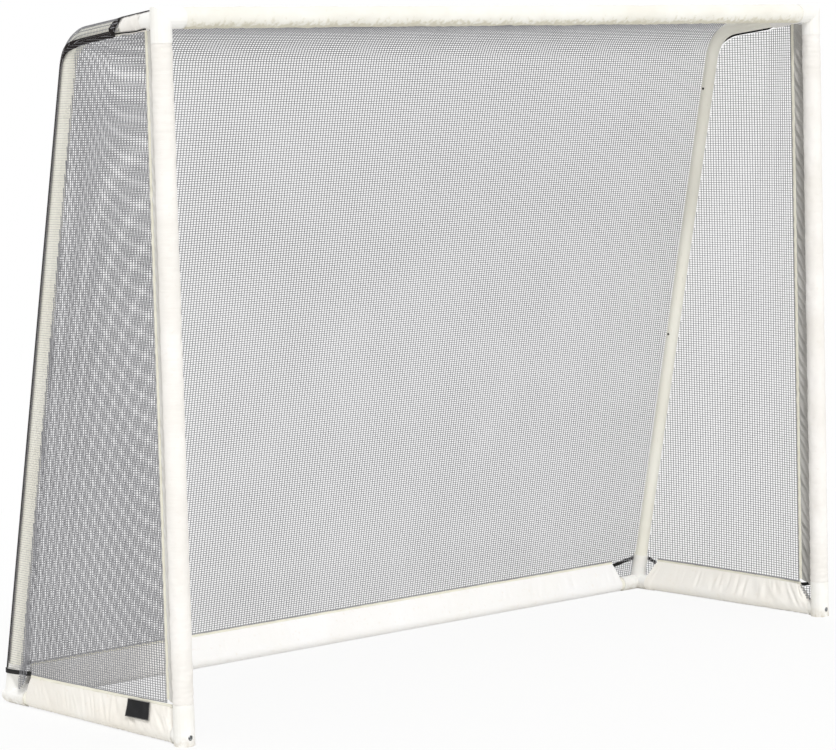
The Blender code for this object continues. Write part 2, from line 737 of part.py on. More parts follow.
def along_path(points, share):
    """The point this share of the way along a run of straight lines."""
    lengths = [(b - a).length for a, b in zip(points, points[1:])]
    left = share * sum(lengths)
    for a, b, length in zip(points, points[1:], lengths):
        if left <= length:
            return a.lerp(b, left / length)
        left -= length
    return points[-1]


def side_net(side):
    """The side net: a patch between the hem tape, the skirt's tape, the side tube and the upright."""
    outset = NET_OUTSIDE - NET_MIDDLE
    middle_top = (roof_break() + back_break()) / 2 + (BAR_OUTWARD + UPRIGHT_OUTWARD).normalized() * outset
    rear_bottom = net_rear_bottom(NET_OUTSIDE)
    under = REAR_FITTING_R + GAP
    front_along = (NET_FRONT_Y - FRONT_Y + BAR_OUTWARD.y * under) / BAR_DIRECTION.y
    top = [
        FRONT_CORNER + BAR_DIRECTION * front_along - BAR_OUTWARD * under,
        FRONT_CORNER + BAR_DIRECTION * (SIDE_SLEEVE_END + TAPE_HEIGHT) - BAR_OUTWARD * under,
        BEND_START + BAR_DIRECTION * NET_MIDDLE + BAR_OUTWARD * NET_OUTSIDE,
        middle_top,
    ]
    rear = [rear_bottom, back_break() + UPRIGHT_OUTWARD * outset, middle_top]
    front_bottom = Vector((0, NET_FRONT_Y, NET_BOTTOM_Z))
    grid = []
    for j in range(SIDE_ROWS + 1):
        v = j / SIDE_ROWS
        row = []
        for i in range(SIDE_COLUMNS + 1):
            u = i / SIDE_COLUMNS
            bottom_point = front_bottom.lerp(rear_bottom, u)
            front_point = front_bottom.lerp(top[0], v)
            blend = bottom_point * (1 - v) + top[i] * v
            blend += front_point * (1 - u) + along_path(rear, v) * u
            low = front_bottom.lerp(rear_bottom, u)
            high = top[0].lerp(middle_top, u)
            point = blend - (low * (1 - v) + high * v)
            spread = NET_MIDDLE * net_spread(u, v)
            row.append(Vector((side * (HALF_SPAN + spread), point.y, point.z)))
        grid.append(row)
    net(f"{side_name(side)}_side_net", grid)


def skirt_flank(lean, way):
    """Where a skirt's straight flank leaves the round, and the corner of the tip that it runs to."""
    radius = REAR_BORE_R + SKIRT_WALL
    tip = Vector((lean + way * SKIRT_TOP_WIDTH / 2, SKIRT_TOP_Z - BASE_Z))
    angle = atan2(tip.y, tip.x) - way * acos(radius / tip.length)
    return angle, Vector((radius * cos(angle), radius * sin(angle))), tip


def skirt_section(lean):
    """(inner ring, outer ring) of a skirt across its tube: a round bore, and a drop shape whose tip leans.

    Both rings start at the bottom and go round by way of the outer flank. The outer one is round up to
    where each straight flank leaves it.
    """
    radius = REAR_BORE_R + SKIRT_WALL
    arc_steps = SIDES // 2 - SKIRT_FLANK_POINTS
    flank_steps = SKIRT_FLANK_POINTS - 1
    sides = []
    for way in (1, -1):
        angle, foot, tip = skirt_flank(lean, way)
        low = -pi / 2 if way > 0 else 3 * pi / 2
        turns = [low + (angle - low) * step / arc_steps for step in range(1, arc_steps)]
        line = [Vector((radius * cos(turn), radius * sin(turn))) for turn in turns]
        line += [foot.lerp(tip, step / flank_steps) for step in range(SKIRT_FLANK_POINTS)]
        sides.append(line)
    middle = (sides[0][-1] + sides[1][-1]) / 2
    outer = [Vector((0, -radius)), *sides[0], middle, *reversed(sides[1])]
    inner = []
    for index in range(SIDES):
        angle = 2 * pi * index / SIDES - pi / 2
        inner.append(Vector((REAR_BORE_R * cos(angle), REAR_BORE_R * sin(angle))))
    return inner, outer


def skirt(name, stations, to_world):
    """A skirt lofted along its tube, from stations of (distance, slant over its full height, lean)."""
    bm = bmesh.new()
    height = SKIRT_TOP_Z - BASE_Z
    rings = []
    for distance, slant, lean in stations:
        pair = []
        for ring in skirt_section(lean):
            points = [to_world(distance + slant * max(0.0, b) / height, a, b) for a, b in ring]
            pair.append([bm.verts.new(point) for point in points])
        rings.append(pair)
    for first, second in zip(rings, rings[1:]):
        for layer in (0, 1):
            for i in range(SIDES):
                j = (i + 1) % SIDES
                bm.faces.new((first[layer][i], first[layer][j], second[layer][j], second[layer][i]))
    for inner, outer in (rings[0], rings[-1]):
        for i in range(SIDES):
            j = (i + 1) % SIDES
            bm.faces.new((inner[i], inner[j], outer[j], outer[i]))
    bmesh.ops.recalc_face_normals(bm, faces=bm.faces)
    mesh = bpy.data.meshes.new(name)
    bm.to_mesh(mesh)
    bm.free()
    mesh.shade_smooth()
    mesh.set_sharp_from_angle(angle=SHARP_ANGLE)
    return new_object(name, mesh, WHITE_FABRIC)


def side_skirt(side):
    """The skirt of a side base tube. Its tip leans out towards the rear, as the net above it does."""

    def to_world(distance, a, b):
        return Vector((side * (HALF_SPAN + a), FRONT_Y + distance, BASE_Z + b))

    front = FOOT_SOCKET_REACH + GAP
    rear = REAR_Y - SKIRT_REAR_END - FRONT_Y
    lean_start = NET_FRONT_Y - FRONT_Y
    lean_length = kink_y() - NET_FRONT_Y
    stations = [(front, SKIRT_FRONT_TOP - front, 0.0)]
    for step in range(SKIRT_STEPS + 1):
        share = step / SKIRT_STEPS
        stations.append((lean_start + lean_length * share, 0.0, NET_MIDDLE * share))
    stations.append((rear, -SKIRT_END_SLANT, NET_MIDDLE))
    skirt(f"{side_name(side)}_skirt", stations, to_world)


def rear_tip_y():
    """The Y of the rear skirt's tip, under the back net's lower edge."""
    return net_rear_bottom().y


def rear_skirt():
    """The skirt of the rear base tube, its tip under the back net."""

    def to_world(distance, a, b):
        return Vector((distance, REAR_Y + a, BASE_Z + b))

    half = HALF_SPAN - SKIRT_REAR_END
    lean = rear_tip_y() - REAR_Y
    stations = [(-half, SKIRT_END_SLANT, lean), (half, -SKIRT_END_SLANT, lean)]
    skirt("rear_skirt", stations, to_world)


def ribbon(name, finish, points, height, thickness):
    """An upright band along a level line of points."""
    line = poly_curve(f"{name}_line", points)
    line.data.extrude = height / 2
    obj = as_mesh(line, name, finish)
    thicken(obj, thickness, 0)
    return obj


def skirt_tapes():
    """The hem tapes on the skirts' top edges, one along each side and one along the rear."""
    rear_half = HALF_SPAN - SKIRT_REAR_END - SKIRT_END_SLANT
    y = rear_tip_y()
    ends = [Vector((-rear_half, y, TAPE_Z)), Vector((rear_half, y, TAPE_Z))]
    ribbon("rear_skirt_tape", CREAM_TAPE, ends, TAPE_HEIGHT, TAPE_THICKNESS)
    for side in (-1, 1):
        points = []
        for y in side_tape_stations():
            x = side * (HALF_SPAN + side_spread_at(y))
            points.append(Vector((x, y, TAPE_Z)))
        ribbon(f"{side_name(side)}_skirt_tape", CREAM_TAPE, points, TAPE_HEIGHT, TAPE_THICKNESS)


def side_tape_stations():
    """Where a side tape starts, kinks and ends, along Y."""
    return [NET_FRONT_Y, kink_y(), REAR_Y - SKIRT_REAR_END - SKIRT_END_SLANT]


def straps(side):
    """The webbing that carries a side tape on to the rear tape round the upright, and one to the foot."""
    name = side_name(side)
    middle = upright_point(TAPE_Z)
    lean_reach = (REAR_FITTING_R - UPRIGHT_DIRECTION.y * TAPE_HEIGHT / 2) / UPRIGHT_DIRECTION.z
    radius = lean_reach + STRAP_SLACK + STRAP_THICKNESS / 2
    rear_y = rear_tip_y()
    side_end = side_tape_stations()[-1] + GAP
    rear_x = HALF_SPAN - SKIRT_REAR_END - SKIRT_END_SLANT + GAP
    arc = []
    for step in range(STRAP_STEPS + 1):
        angle = pi / 2 * step / STRAP_STEPS
        arc.append((HALF_SPAN + radius * sin(angle), middle.y + radius * cos(angle)))
    outline = [(rear_x, rear_y), *arc, (HALF_SPAN + side_spread_at(side_end), side_end)]
    points = [Vector((side * x, y, TAPE_Z)) for x, y in outline]
    ribbon(f"{name}_rear_strap", BLACK_WEBBING, points, TAPE_HEIGHT, STRAP_THICKNESS)
    x = side * HALF_SPAN
    low = (x - STRAP_THICKNESS / 2, FRONT_Y + FRONT_FITTING_R + GAP, TAPE_Z - TAPE_HEIGHT / 2)
    high = (x + STRAP_THICKNESS / 2, NET_FRONT_Y - GAP, TAPE_Z + TAPE_HEIGHT / 2)
    box(f"{name}_front_strap", BLACK_WEBBING, low, high)


def blank_label():
    """A bare flat tag that hangs from the top of the left skirt's outer flank."""
    near_y = FRONT_Y + LABEL_FROM_POST
    _, foot, tip = skirt_flank(side_spread_at(near_y), 1)
    hang = (foot - tip).normalized()
    down = Vector((-hang.x, 0, hang.y))
    clear = SKIRT_TOP_WIDTH / 2 + GAP + LABEL_THICKNESS / 2 + LABEL_SLACK
    top = []
    for y in (near_y, near_y + LABEL_WIDTH):
        top.append(Vector((-HALF_SPAN - side_spread_at(y) - clear, y, SKIRT_TOP_Z)))
    corners = [top[0], top[1], top[1] + down * LABEL_HEIGHT, top[0] + down * LABEL_HEIGHT]
    mesh = bpy.data.meshes.new("blank_label")
    mesh.from_pydata(corners, [], [(0, 1, 2, 3)])
    obj = new_object("blank_label", mesh, BLACK_WEBBING)
    thicken(obj, LABEL_THICKNESS, 0)


def build():
    reach = Vector((OVERALL_WIDTH, OVERALL_DEPTH, 0))
    ground = box("ground", None, -reach - Vector((0, 0, GROUND_DEPTH)), reach)
    crossing_tubes("crossbar", FRONT_TUBE_R, FRONT_Y, BAR_Z)
    crossing_tubes("rear_base", REAR_TUBE_R, REAR_Y, BASE_Z)
    frame_sleeves()
    for side in (-1, 1):
        post_tubes(side)
        top_corner(side)
        side_tubes(side)
        snap_button(side, "upper", UPPER_JOINT_Z)
        snap_button(side, "lower", LOWER_JOINT_Z)
        rear_corner(side, ground)
        front_foot(side, ground)
        foot_screw(side)
        base_side_tube(side)
        side_net(side)
        side_skirt(side)
        straps(side)
    rear_skirt()
    skirt_tapes()
    back_nets()
    blank_label()


clear_scene()
GOAL = new_collection("soccer_goal")
CUTTERS = new_collection("cutters")
CUTTERS.hide_render = True
build()
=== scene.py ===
# %% [markdown]
# # A netted soccer goal in white sleeves
#
# This lesson dresses a finished CAD model of a knock-down soccer goal. The CAD already holds the tubes,
# corner fittings, snap buttons, screws and simple solids for every soft part. Here the soft parts are built
# again as what they are: knotless netting, gathered sleeves, skirts, woven tapes and webbing. Each finish
# is a material made from nodes only. All lengths are in metres, +X runs across the goal, the mouth faces -Y
# and +Z is up.

# %% Load the frame
from math import acos, atan2, ceil, cos, exp, floor, pi, radians, sin, tan

import bpy
import numpy as np
from mathutils import Matrix, Vector, noise


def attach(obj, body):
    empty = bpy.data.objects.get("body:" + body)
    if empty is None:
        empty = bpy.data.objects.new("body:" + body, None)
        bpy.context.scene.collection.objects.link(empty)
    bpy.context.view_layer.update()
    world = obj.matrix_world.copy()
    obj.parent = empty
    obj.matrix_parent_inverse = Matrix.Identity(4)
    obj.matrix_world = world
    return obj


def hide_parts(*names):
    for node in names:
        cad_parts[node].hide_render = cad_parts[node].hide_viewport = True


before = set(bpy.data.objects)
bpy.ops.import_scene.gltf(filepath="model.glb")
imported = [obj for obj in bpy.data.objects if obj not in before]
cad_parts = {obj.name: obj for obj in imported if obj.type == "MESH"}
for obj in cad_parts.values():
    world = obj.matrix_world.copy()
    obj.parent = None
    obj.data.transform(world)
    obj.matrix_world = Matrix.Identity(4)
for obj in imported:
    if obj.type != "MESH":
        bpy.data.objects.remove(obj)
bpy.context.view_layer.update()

# %% [markdown]
# ## The lines that everything hangs on
#
# A side frame is one line: it leaves the top corner, slopes down a little, bends and leans back to the
# ground. The netting, sleeves and seams all follow it, so its sizes are written once, as they are in the
# CAD.

# %% The side frame's line
SIDES = ((-1, "left"), (1, "right"))
HALF_SPAN = 1.193
FRONT_Y = -0.3805
REAR_Y = 0.385
BAR_Z = 1.803
BASE_Z = 0.022
TOP_DEPTH = 0.384
SIDE_BAR_DROP = 0.040
BEND_RADIUS = 0.108
REAR_R = 0.0225
NET_OFF = 0.0238
SKIRT_TOP_Z = 0.0857
TAPE_Z = 0.0910
TAPE_HEIGHT = 0.010
NET_BOTTOM_Z = 0.0965
NET_FRONT_Y = -0.3054

FRONT_CORNER = Vector((0, FRONT_Y, BAR_Z))
BEND_CORNER = Vector((0, FRONT_Y + TOP_DEPTH, BAR_Z - SIDE_BAR_DROP))
REAR_CORNER = Vector((0, REAR_Y, BASE_Z))
BAR_DIRECTION = (BEND_CORNER - FRONT_CORNER).normalized()
UPRIGHT_DIRECTION = (BEND_CORNER - REAR_CORNER).normalized()
BAR_OUTWARD = Vector((0, -BAR_DIRECTION.z, BAR_DIRECTION.y))
UPRIGHT_OUTWARD = Vector((0, UPRIGHT_DIRECTION.z, -UPRIGHT_DIRECTION.y))
BEND_ANGLE = BAR_DIRECTION.angle(-UPRIGHT_DIRECTION)
BEND_START = BEND_CORNER - BAR_DIRECTION * BEND_RADIUS * tan(BEND_ANGLE / 2)
BEND_END = BEND_CORNER - UPRIGHT_DIRECTION * BEND_RADIUS * tan(BEND_ANGLE / 2)
BEND_MIDDLE = BEND_START - BAR_OUTWARD * BEND_RADIUS
ROOF_START = 0.0176


def frame_station(length):
    """Axis point and outward direction of the side frame, this far along the net that lies outside it."""
    bar = (BEND_START - FRONT_CORNER).length - ROOF_START
    arc = (BEND_RADIUS + NET_OFF) * BEND_ANGLE
    if length <= bar:
        return FRONT_CORNER + BAR_DIRECTION * (ROOF_START + length), BAR_OUTWARD
    if length <= bar + arc:
        turn = (length - bar) / (BEND_RADIUS + NET_OFF)
        outward = BAR_OUTWARD * cos(turn) + BAR_DIRECTION * sin(turn)
        return BEND_MIDDLE + outward * BEND_RADIUS, outward
    return BEND_END - UPRIGHT_DIRECTION * (length - bar - arc), UPRIGHT_OUTWARD


def upright_length(height):
    """How far along the net a height on the upright is."""
    bar = (BEND_START - FRONT_CORNER).length - ROOF_START
    axis = BEND_END.z - height + UPRIGHT_OUTWARD.z * NET_OFF
    return bar + (BEND_RADIUS + NET_OFF) * BEND_ANGLE + axis / UPRIGHT_DIRECTION.z


NET_LENGTH = upright_length(NET_BOTTOM_Z)
PATCH_BOTTOM_Z = 0.041
PATCH_LENGTH = upright_length(PATCH_BOTTOM_Z)
print("net length along the frame:", round(NET_LENGTH, 3), "with corner patches:", round(PATCH_LENGTH, 3))

# %% [markdown]
# ## Camera, floor and light
#
# The camera was fitted to the photograph from the tube lines, so its place, turn and small shift are plain
# numbers. The floor is pale and matte. To the camera it is mostly a white glow, which keeps a soft shadow
# near the goal and fades to pure white further out. The light is a soft key from the front, a weaker one
# from behind and an even white surround, at a level where a colour renders about as it is written.

# %% Camera
IMAGE_WIDTH = 836
IMAGE_HEIGHT = 750
FOCAL_PIXELS = 2959.0
CENTRE_PIXEL = (363.7, 329.6)
CAMERA_PLACE = (-5.517, -6.2365, 1.615)
AZIMUTH = radians(40.178)
PITCH = radians(4.634)
ROLL = radians(-1.578)

camera = bpy.data.objects.new("camera", bpy.data.cameras.new("camera"))
bpy.context.scene.collection.objects.link(camera)
forward = Vector((sin(AZIMUTH) * cos(PITCH), cos(AZIMUTH) * cos(PITCH), -sin(PITCH)))
level = Vector((cos(AZIMUTH), -sin(AZIMUTH), 0))
upward = level.cross(forward)
right = level * cos(ROLL) + upward * sin(ROLL)
upward = -level * sin(ROLL) + upward * cos(ROLL)
turned = Matrix((right, upward, -forward)).transposed().to_4x4()
camera.matrix_world = Matrix.Translation(CAMERA_PLACE) @ turned
camera.data.lens = FOCAL_PIXELS / IMAGE_WIDTH * camera.data.sensor_width
camera.data.shift_x = (IMAGE_WIDTH / 2 - CENTRE_PIXEL[0]) / IMAGE_WIDTH
camera.data.shift_y = (CENTRE_PIXEL[1] - IMAGE_HEIGHT / 2) / IMAGE_WIDTH
camera.data.clip_end = 100
bpy.context.scene.camera = camera
bpy.context.scene.view_settings.view_transform = "Standard"
print("lens:", round(camera.data.lens, 1), "mm")


# %% Colour and node helpers
def hex_colour(text):
    """An sRGB hex colour as linear RGBA."""
    parts = [int(text[i : i + 2], 16) / 255 for i in (1, 3, 5)]
    return [p / 12.92 if p <= 0.04045 else ((p + 0.055) / 1.055) ** 2.4 for p in parts] + [1.0]


def add(tree, kind, inputs=None, output=0, **settings):
    """Add a node and give one of its outputs. Inputs are values, hex colours, or outputs to link from."""
    made = tree.nodes.new("ShaderNode" + kind)
    for key, value in settings.items():
        setattr(made, key, value)
    for key, value in (inputs or {}).items():
        if isinstance(value, bpy.types.NodeSocket):
            tree.links.new(value, made.inputs[key])
        else:
            made.inputs[key].default_value = hex_colour(value) if isinstance(value, str) else value
    return made.outputs[output] if made.outputs else None


def new_material(name):
    """An empty node material and its tree."""
    made = bpy.data.materials.new(name)
    made.use_nodes = True
    made.node_tree.nodes.clear()
    return made, made.node_tree


def finish_material(tree, inputs):
    """Close a material: a shader with these inputs, and the output that it feeds."""
    add(tree, "OutputMaterial", {"Surface": add(tree, "BsdfPrincipled", inputs)})


# %% Floor and surround
SEEN_WHITE = 0.84
SHADOW_FADES = (1.6, 3.6)
FLOOR_HALF = 30.0
SURROUND = 0.74

floor_material, tree = new_material("matte_studio_floor")
camera_ray = add(tree, "LightPath", output="Is Camera Ray")
place = add(tree, "NewGeometry", output="Position")
distance = add(tree, "VectorMath", {0: place}, "Value", operation="LENGTH")
near, away = SHADOW_FADES
glow_share = {"Value": distance, "From Min": near, "From Max": away, "To Min": SEEN_WHITE, "To Max": 1.0}
seen = add(tree, "Math", {0: camera_ray, 1: add(tree, "MapRange", glow_share)}, operation="MULTIPLY")
matte = add(tree, "BsdfDiffuse", {"Color": "#F1F1EF"})
glow = add(tree, "Emission", {"Color": "#FFFFFF", "Strength": 1.0})
add(tree, "OutputMaterial", {"Surface": add(tree, "MixShader", {0: seen, 1: matte, 2: glow})})
floor_mesh = bpy.data.meshes.new("studio_floor")
corners = [(x * FLOOR_HALF, y * FLOOR_HALF, 0) for x, y in ((-1, -1), (1, -1), (1, 1), (-1, 1))]
floor_mesh.from_pydata(corners, [], [(0, 1, 2, 3)])
floor_mesh.materials.append(floor_material)
studio_floor = bpy.data.objects.new("studio_floor", floor_mesh)
bpy.context.scene.collection.objects.link(studio_floor)

world = bpy.data.worlds.new("white_surround")
bpy.context.scene.world = world
world.use_nodes = True
tree = world.node_tree
tree.nodes.clear()
camera_ray = add(tree, "LightPath", output="Is Camera Ray")
even = add(tree, "Background", {"Color": "#FFFFFF", "Strength": SURROUND})
white = add(tree, "Background", {"Color": "#FFFFFF", "Strength": 1.0})
add(tree, "OutputWorld", {"Surface": add(tree, "MixShader", {0: camera_ray, 1: even, 2: white})})
print("floor:", 2 * FLOOR_HALF, "m across, surround strength", SURROUND)


# %% Lamps
def soft_sun(name, towards, strength, angle):
    """A distant soft lamp that shines along a direction."""
    lamp = bpy.data.lights.new(name, "SUN")
    lamp.energy = strength
    lamp.angle = radians(angle)
    made = bpy.data.objects.new(name, lamp)
    made.rotation_euler = Vector(towards).to_track_quat("-Z", "Y").to_euler()
    bpy.context.scene.collection.objects.link(made)


soft_sun("key_light", (0.42, 0.75, -0.90), 1.30, 9)
soft_sun("back_light", (-0.4, -0.8, -0.9), 0.30, 40)

# %% [markdown]
# ## Materials
#
# A pattern that belongs to cloth, such as a weave or a row of stitches, has to follow the cloth round a
# tube. So each soft piece gets a UV map that holds its own flat lengths in metres: u across the cut and v
# along it. A pattern's spacing is then simply a real length. Blender's sine band texture repeats every
# 0.31416 units of its input at scale 1, so the scale for a spacing is 0.31416 divided by that spacing.

# %% Shared pattern pieces
FLAT_MAP = "flat_lengths"
WAVE_REPEAT = pi / 10
CLOTH_IOR = 1.5
COLOURS = {"output": 2, "data_type": "RGBA"}


def clouds(tree, vector, size, detail=3.0, low=0.35, high=0.65):
    """Soft patches about this many metres across, stretched to run from 0 to 1."""
    uneven = add(tree, "TexNoise", {"Vector": vector, "Scale": 1 / size, "Detail": detail}, "Fac")
    return add(tree, "MapRange", {"Value": uneven, "From Min": low, "From Max": high})


# %% [markdown]
# ### Woven polyester sleeve cloth
#
# The sleeves and skirts are plain-woven polyester: white, matte with a slight sheen, and full of fine
# creases where it is gathered. A plain weave is two sets of bands that take turns on top. The real threads
# are about 0.4 mm apart, which no render here can show, so the weave is drawn five times as coarse, at 2
# mm. Larger soft patches give the uneven tone of cloth that has been folded and used. The right and rear
# skirts are painted lighter than the left, a painted light against the net's shade round them. The flaps
# are painted greyer as painted shade, the right one much more, and the crossbar's sleeve has painted shade
# along its seam underneath.

# %% Woven polyester
WEAVE = 0.002
CREASES_PER_METRE = (14.0, 90.0, 1.0)
# Painted shade: a cream-grey tint along the crossbar sleeve's seam, which lies underneath.
SEAM_PAINTED_SHADE = "#CBC4AA"
SEAM_PAINTED_SHADE_REACH = 0.022


def woven_polyester(name, light, shade, crease_depth, dirt, painted_shade_cut=None):
    """A plain weave. Given the cloth's width in metres last, painted shade lies along its two sewn edges."""
    made, tree = new_material(name)
    flat = add(tree, "UVMap", output="UV", uv_map=FLAT_MAP)
    solid = add(tree, "TexCoord", output="Object")
    threads = {"Vector": flat, "Scale": WAVE_REPEAT / WEAVE}
    warp = add(tree, "TexWave", threads, "Fac", bands_direction="X")
    weft = add(tree, "TexWave", threads, "Fac", bands_direction="Y")
    plain = add(tree, "Math", {0: warp, 1: weft}, operation="MULTIPLY")
    patches = clouds(tree, solid, 0.16)
    colour = add(tree, "Mix", {"Factor": patches, 6: shade, 7: light}, **COLOURS)
    spotted = clouds(tree, solid, 0.012, 5.0, 0.60, 0.80)
    specks = add(tree, "Math", {0: spotted, 1: 0.35}, operation="MULTIPLY")
    colour = add(tree, "Mix", {"Factor": specks, 6: colour, 7: dirt}, **COLOURS)
    # Painted shade along the seam, for the crossbar's shaded underside.
    if painted_shade_cut:
        across = add(tree, "SeparateXYZ", {"Vector": flat}, "X")
        off_middle = add(tree, "Math", {0: across, 1: painted_shade_cut / 2}, operation="SUBTRACT")
        to_middle = add(tree, "Math", {0: off_middle}, operation="ABSOLUTE")
        from_seam = add(tree, "Math", {0: painted_shade_cut / 2, 1: to_middle}, operation="SUBTRACT")
        uneven = clouds(tree, solid, 0.013, 3.0, 0.3, 0.7)
        added = add(tree, "Math", {0: uneven, 1: SEAM_PAINTED_SHADE_REACH * 1.2}, operation="MULTIPLY")
        reached = add(tree, "Math", {0: from_seam, 1: added}, operation="ADD")
        fade = {"Value": reached, "From Min": SEAM_PAINTED_SHADE_REACH * 1.6, "From Max": SEAM_PAINTED_SHADE_REACH * 0.9}
        amount = add(tree, "Math", {0: add(tree, "MapRange", fade), 1: 0.65}, operation="MULTIPLY")
        colour = add(tree, "Mix", {"Factor": amount, 6: colour, 7: SEAM_PAINTED_SHADE}, **COLOURS)
    drawn_out = add(tree, "Mapping", {"Vector": flat, "Scale": CREASES_PER_METRE})
    crumple = {"Vector": drawn_out, "Scale": 1.0, "Detail": 4.0, "Distortion": 0.6}
    creases = add(tree, "TexNoise", crumple, "Fac")
    folds = add(tree, "Bump", {"Height": creases, "Strength": 0.55, "Distance": crease_depth})
    relief = add(tree, "Bump", {"Height": plain, "Strength": 0.35, "Distance": 0.0003, "Normal": folds})
    gloss = add(tree, "MapRange", {"Value": patches, "To Min": 0.66, "To Max": 0.82})
    soft = {"IOR": CLOTH_IOR, "Sheen Weight": 0.12, "Sheen Roughness": 0.4}
    finish_material(tree, {"Base Color": colour, "Roughness": gloss, "Normal": relief, **soft})
    return made


SLEEVE_RADIUS = 0.0266
SLEEVE_CUT = 2 * pi * SLEEVE_RADIUS
sleeve_cloth = woven_polyester("woven_polyester_sleeve", "#F9F6F2", "#F1EDE7", 0.0022, "#E4DDD0")
# The crossbar's cloth has painted shade along its seam underneath.
crossbar_cloth = woven_polyester(
    "woven_polyester_crossbar_sleeve", "#F8F6EF", "#F1EEE4", 0.0020, "#E4DDD0", SLEEVE_CUT
)
# Painted shade: both flaps are the sleeve's cloth painted greyer, the right one much greyer for the post's
# shadow on it.
painted_shade_flap_cloth = {
    "left": woven_polyester("woven_polyester_flap_light_painted_shade", "#E9E7E3", "#DCDAD5", 0.0020, "#C9C4BA"),
    "right": woven_polyester("woven_polyester_flap_deep_painted_shade", "#BDBBB7", "#A9A7A3", 0.0020, "#97938B"),
}
# Painted light: the right and rear skirts are drawn lighter than the left, against the shade of the net round
# them.
skirt_cloth = {
    "left": woven_polyester("woven_polyester_skirt", "#FCF9F3", "#F6F1E8", 0.0012, "#E6D9C6"),
    "right": woven_polyester("warm_polyester_skirt_painted_light", "#FFFDF8", "#FEFAF2", 0.0012, "#EADFCB"),
    "rear": woven_polyester("bright_polyester_skirt_painted_light", "#FFFEFD", "#FDFBF8", 0.0012, "#EADFD0"),
}
print("cloth materials:", sleeve_cloth.name, [finish.name for finish in skirt_cloth.values()])

# %% [markdown]
# ### Sewn hem tape
#
# The net is sewn to a cream cotton-polyester tape, woven with ribs across its width and held by two rows of
# lockstitch. The ribs of the real tape are about 0.8 mm apart and are drawn at 1.6 mm. A stitch is 3 mm of
# thread and 1 mm of gap, a row of small dashes that dips into the tape.

# %% Hem tape
TAPE_RIB = 0.0016
STITCH = 0.004
STITCH_SHARE = 0.75

hem_tape, tree = new_material("ribbed_cotton_hem_tape")
flat = add(tree, "UVMap", output="UV", uv_map=FLAT_MAP)
solid = add(tree, "TexCoord", output="Object")
across = add(tree, "SeparateXYZ", {"Vector": flat}, "X")
along = add(tree, "SeparateXYZ", {"Vector": flat}, "Y")
off_middle = add(tree, "Math", {0: across, 1: TAPE_HEIGHT / 2}, operation="SUBTRACT")
from_middle = add(tree, "Math", {0: off_middle}, operation="ABSOLUTE")
row = add(tree, "Math", {0: from_middle, 1: TAPE_HEIGHT * 0.32, 2: TAPE_HEIGHT * 0.07}, operation="COMPARE")
count = add(tree, "Math", {0: along, 1: STITCH}, operation="DIVIDE")
within = add(tree, "Math", {0: count}, operation="FRACT")
dash = add(tree, "Math", {0: within, 1: STITCH_SHARE}, operation="LESS_THAN")
stitches = add(tree, "Math", {0: row, 1: dash}, operation="MULTIPLY")
ribs = add(tree, "TexWave", {"Vector": flat, "Scale": WAVE_REPEAT / TAPE_RIB}, "Fac", bands_direction="Y")
patches = clouds(tree, solid, 0.05)
colour = add(tree, "Mix", {"Factor": patches, 6: "#F3EFDE", 7: "#FBF8E9"}, **COLOURS)
amount = add(tree, "Math", {0: stitches, 1: 0.8}, operation="MULTIPLY")
colour = add(tree, "Mix", {"Factor": amount, 6: colour, 7: "#DDD8C2"}, **COLOURS)
relief = add(tree, "Bump", {"Height": ribs, "Strength": 0.5, "Distance": 0.0003})
dips = {"Height": stitches, "Strength": 0.6, "Distance": 0.0004, "Normal": relief}
relief = add(tree, "Bump", dips, invert=True)
gloss = add(tree, "MapRange", {"Value": patches, "To Min": 0.75, "To Max": 0.9})
soft = {"IOR": CLOTH_IOR, "Sheen Weight": 0.15}
finish_material(tree, {"Base Color": colour, "Roughness": gloss, "Normal": relief, **soft})
print("tape:", hem_tape.name)

# %% [markdown]
# ### Webbing and the bare tag
#
# The corner straps are black polypropylene webbing with a herringbone of fine ribs, and the net's edge is
# bound in a darker, finer one, which under the side bars also draws painted shade. Both are flat weaves
# that hold the light between their ribs, so their shine is set below that of smooth plastic. The tag on
# the skirt is a satin weave, left blank, with a paler woven edge.


# %% Webbing
def webbing(name, light, shade, rib, gloss_low, gloss_high):
    """A herringbone of black ribs, this far apart."""
    made, tree = new_material(name)
    flat = add(tree, "UVMap", output="UV", uv_map=FLAT_MAP)
    solid = add(tree, "TexCoord", output="Object")
    slanted = {"Vector": flat, "Scale": WAVE_REPEAT / rib}
    cross = add(tree, "TexWave", slanted, "Fac", bands_direction="DIAGONAL")
    lengthwise = {"Vector": flat, "Scale": WAVE_REPEAT / (rib * 1.5)}
    ribs = add(tree, "TexWave", lengthwise, "Fac", bands_direction="X")
    woven = add(tree, "Math", {0: cross, 1: ribs}, operation="MULTIPLY")
    worn = add(tree, "Math", {0: clouds(tree, solid, 0.02), 1: 0.5}, operation="MULTIPLY")
    lit = add(tree, "Math", {0: woven, 1: 0.5}, operation="MULTIPLY")
    tone = add(tree, "Math", {0: worn, 1: lit}, operation="ADD")
    colour = add(tree, "Mix", {"Factor": tone, 6: shade, 7: light}, **COLOURS)
    relief = add(tree, "Bump", {"Height": woven, "Strength": 0.7, "Distance": 0.0004})
    gloss = add(tree, "MapRange", {"Value": worn, "To Min": gloss_low, "To Max": gloss_high})
    shine = {"Roughness": gloss, "IOR": CLOTH_IOR, "Specular IOR Level": 0.2}
    finish_material(tree, {"Base Color": colour, "Normal": relief, **shine})
    return made


black_webbing = webbing("woven_polypropylene_webbing", "#262624", "#0E0E0D", 0.0024, 0.5, 0.7)
# The edge binding's finish also draws painted shade: the band under each side bar and the line below each
# sleeve.
binding_and_painted_shade = webbing("woven_edge_binding_and_painted_shade", "#231A19", "#0F0A0A", 0.0020, 0.6, 0.8)
print("webbing:", black_webbing.name, binding_and_painted_shade.name)

# %% Blank satin tag
TAG_WIDTH = 0.088
TAG_HEIGHT = 0.046
TAG_BORDER = 0.0016
SATIN_FLOAT = 0.0012

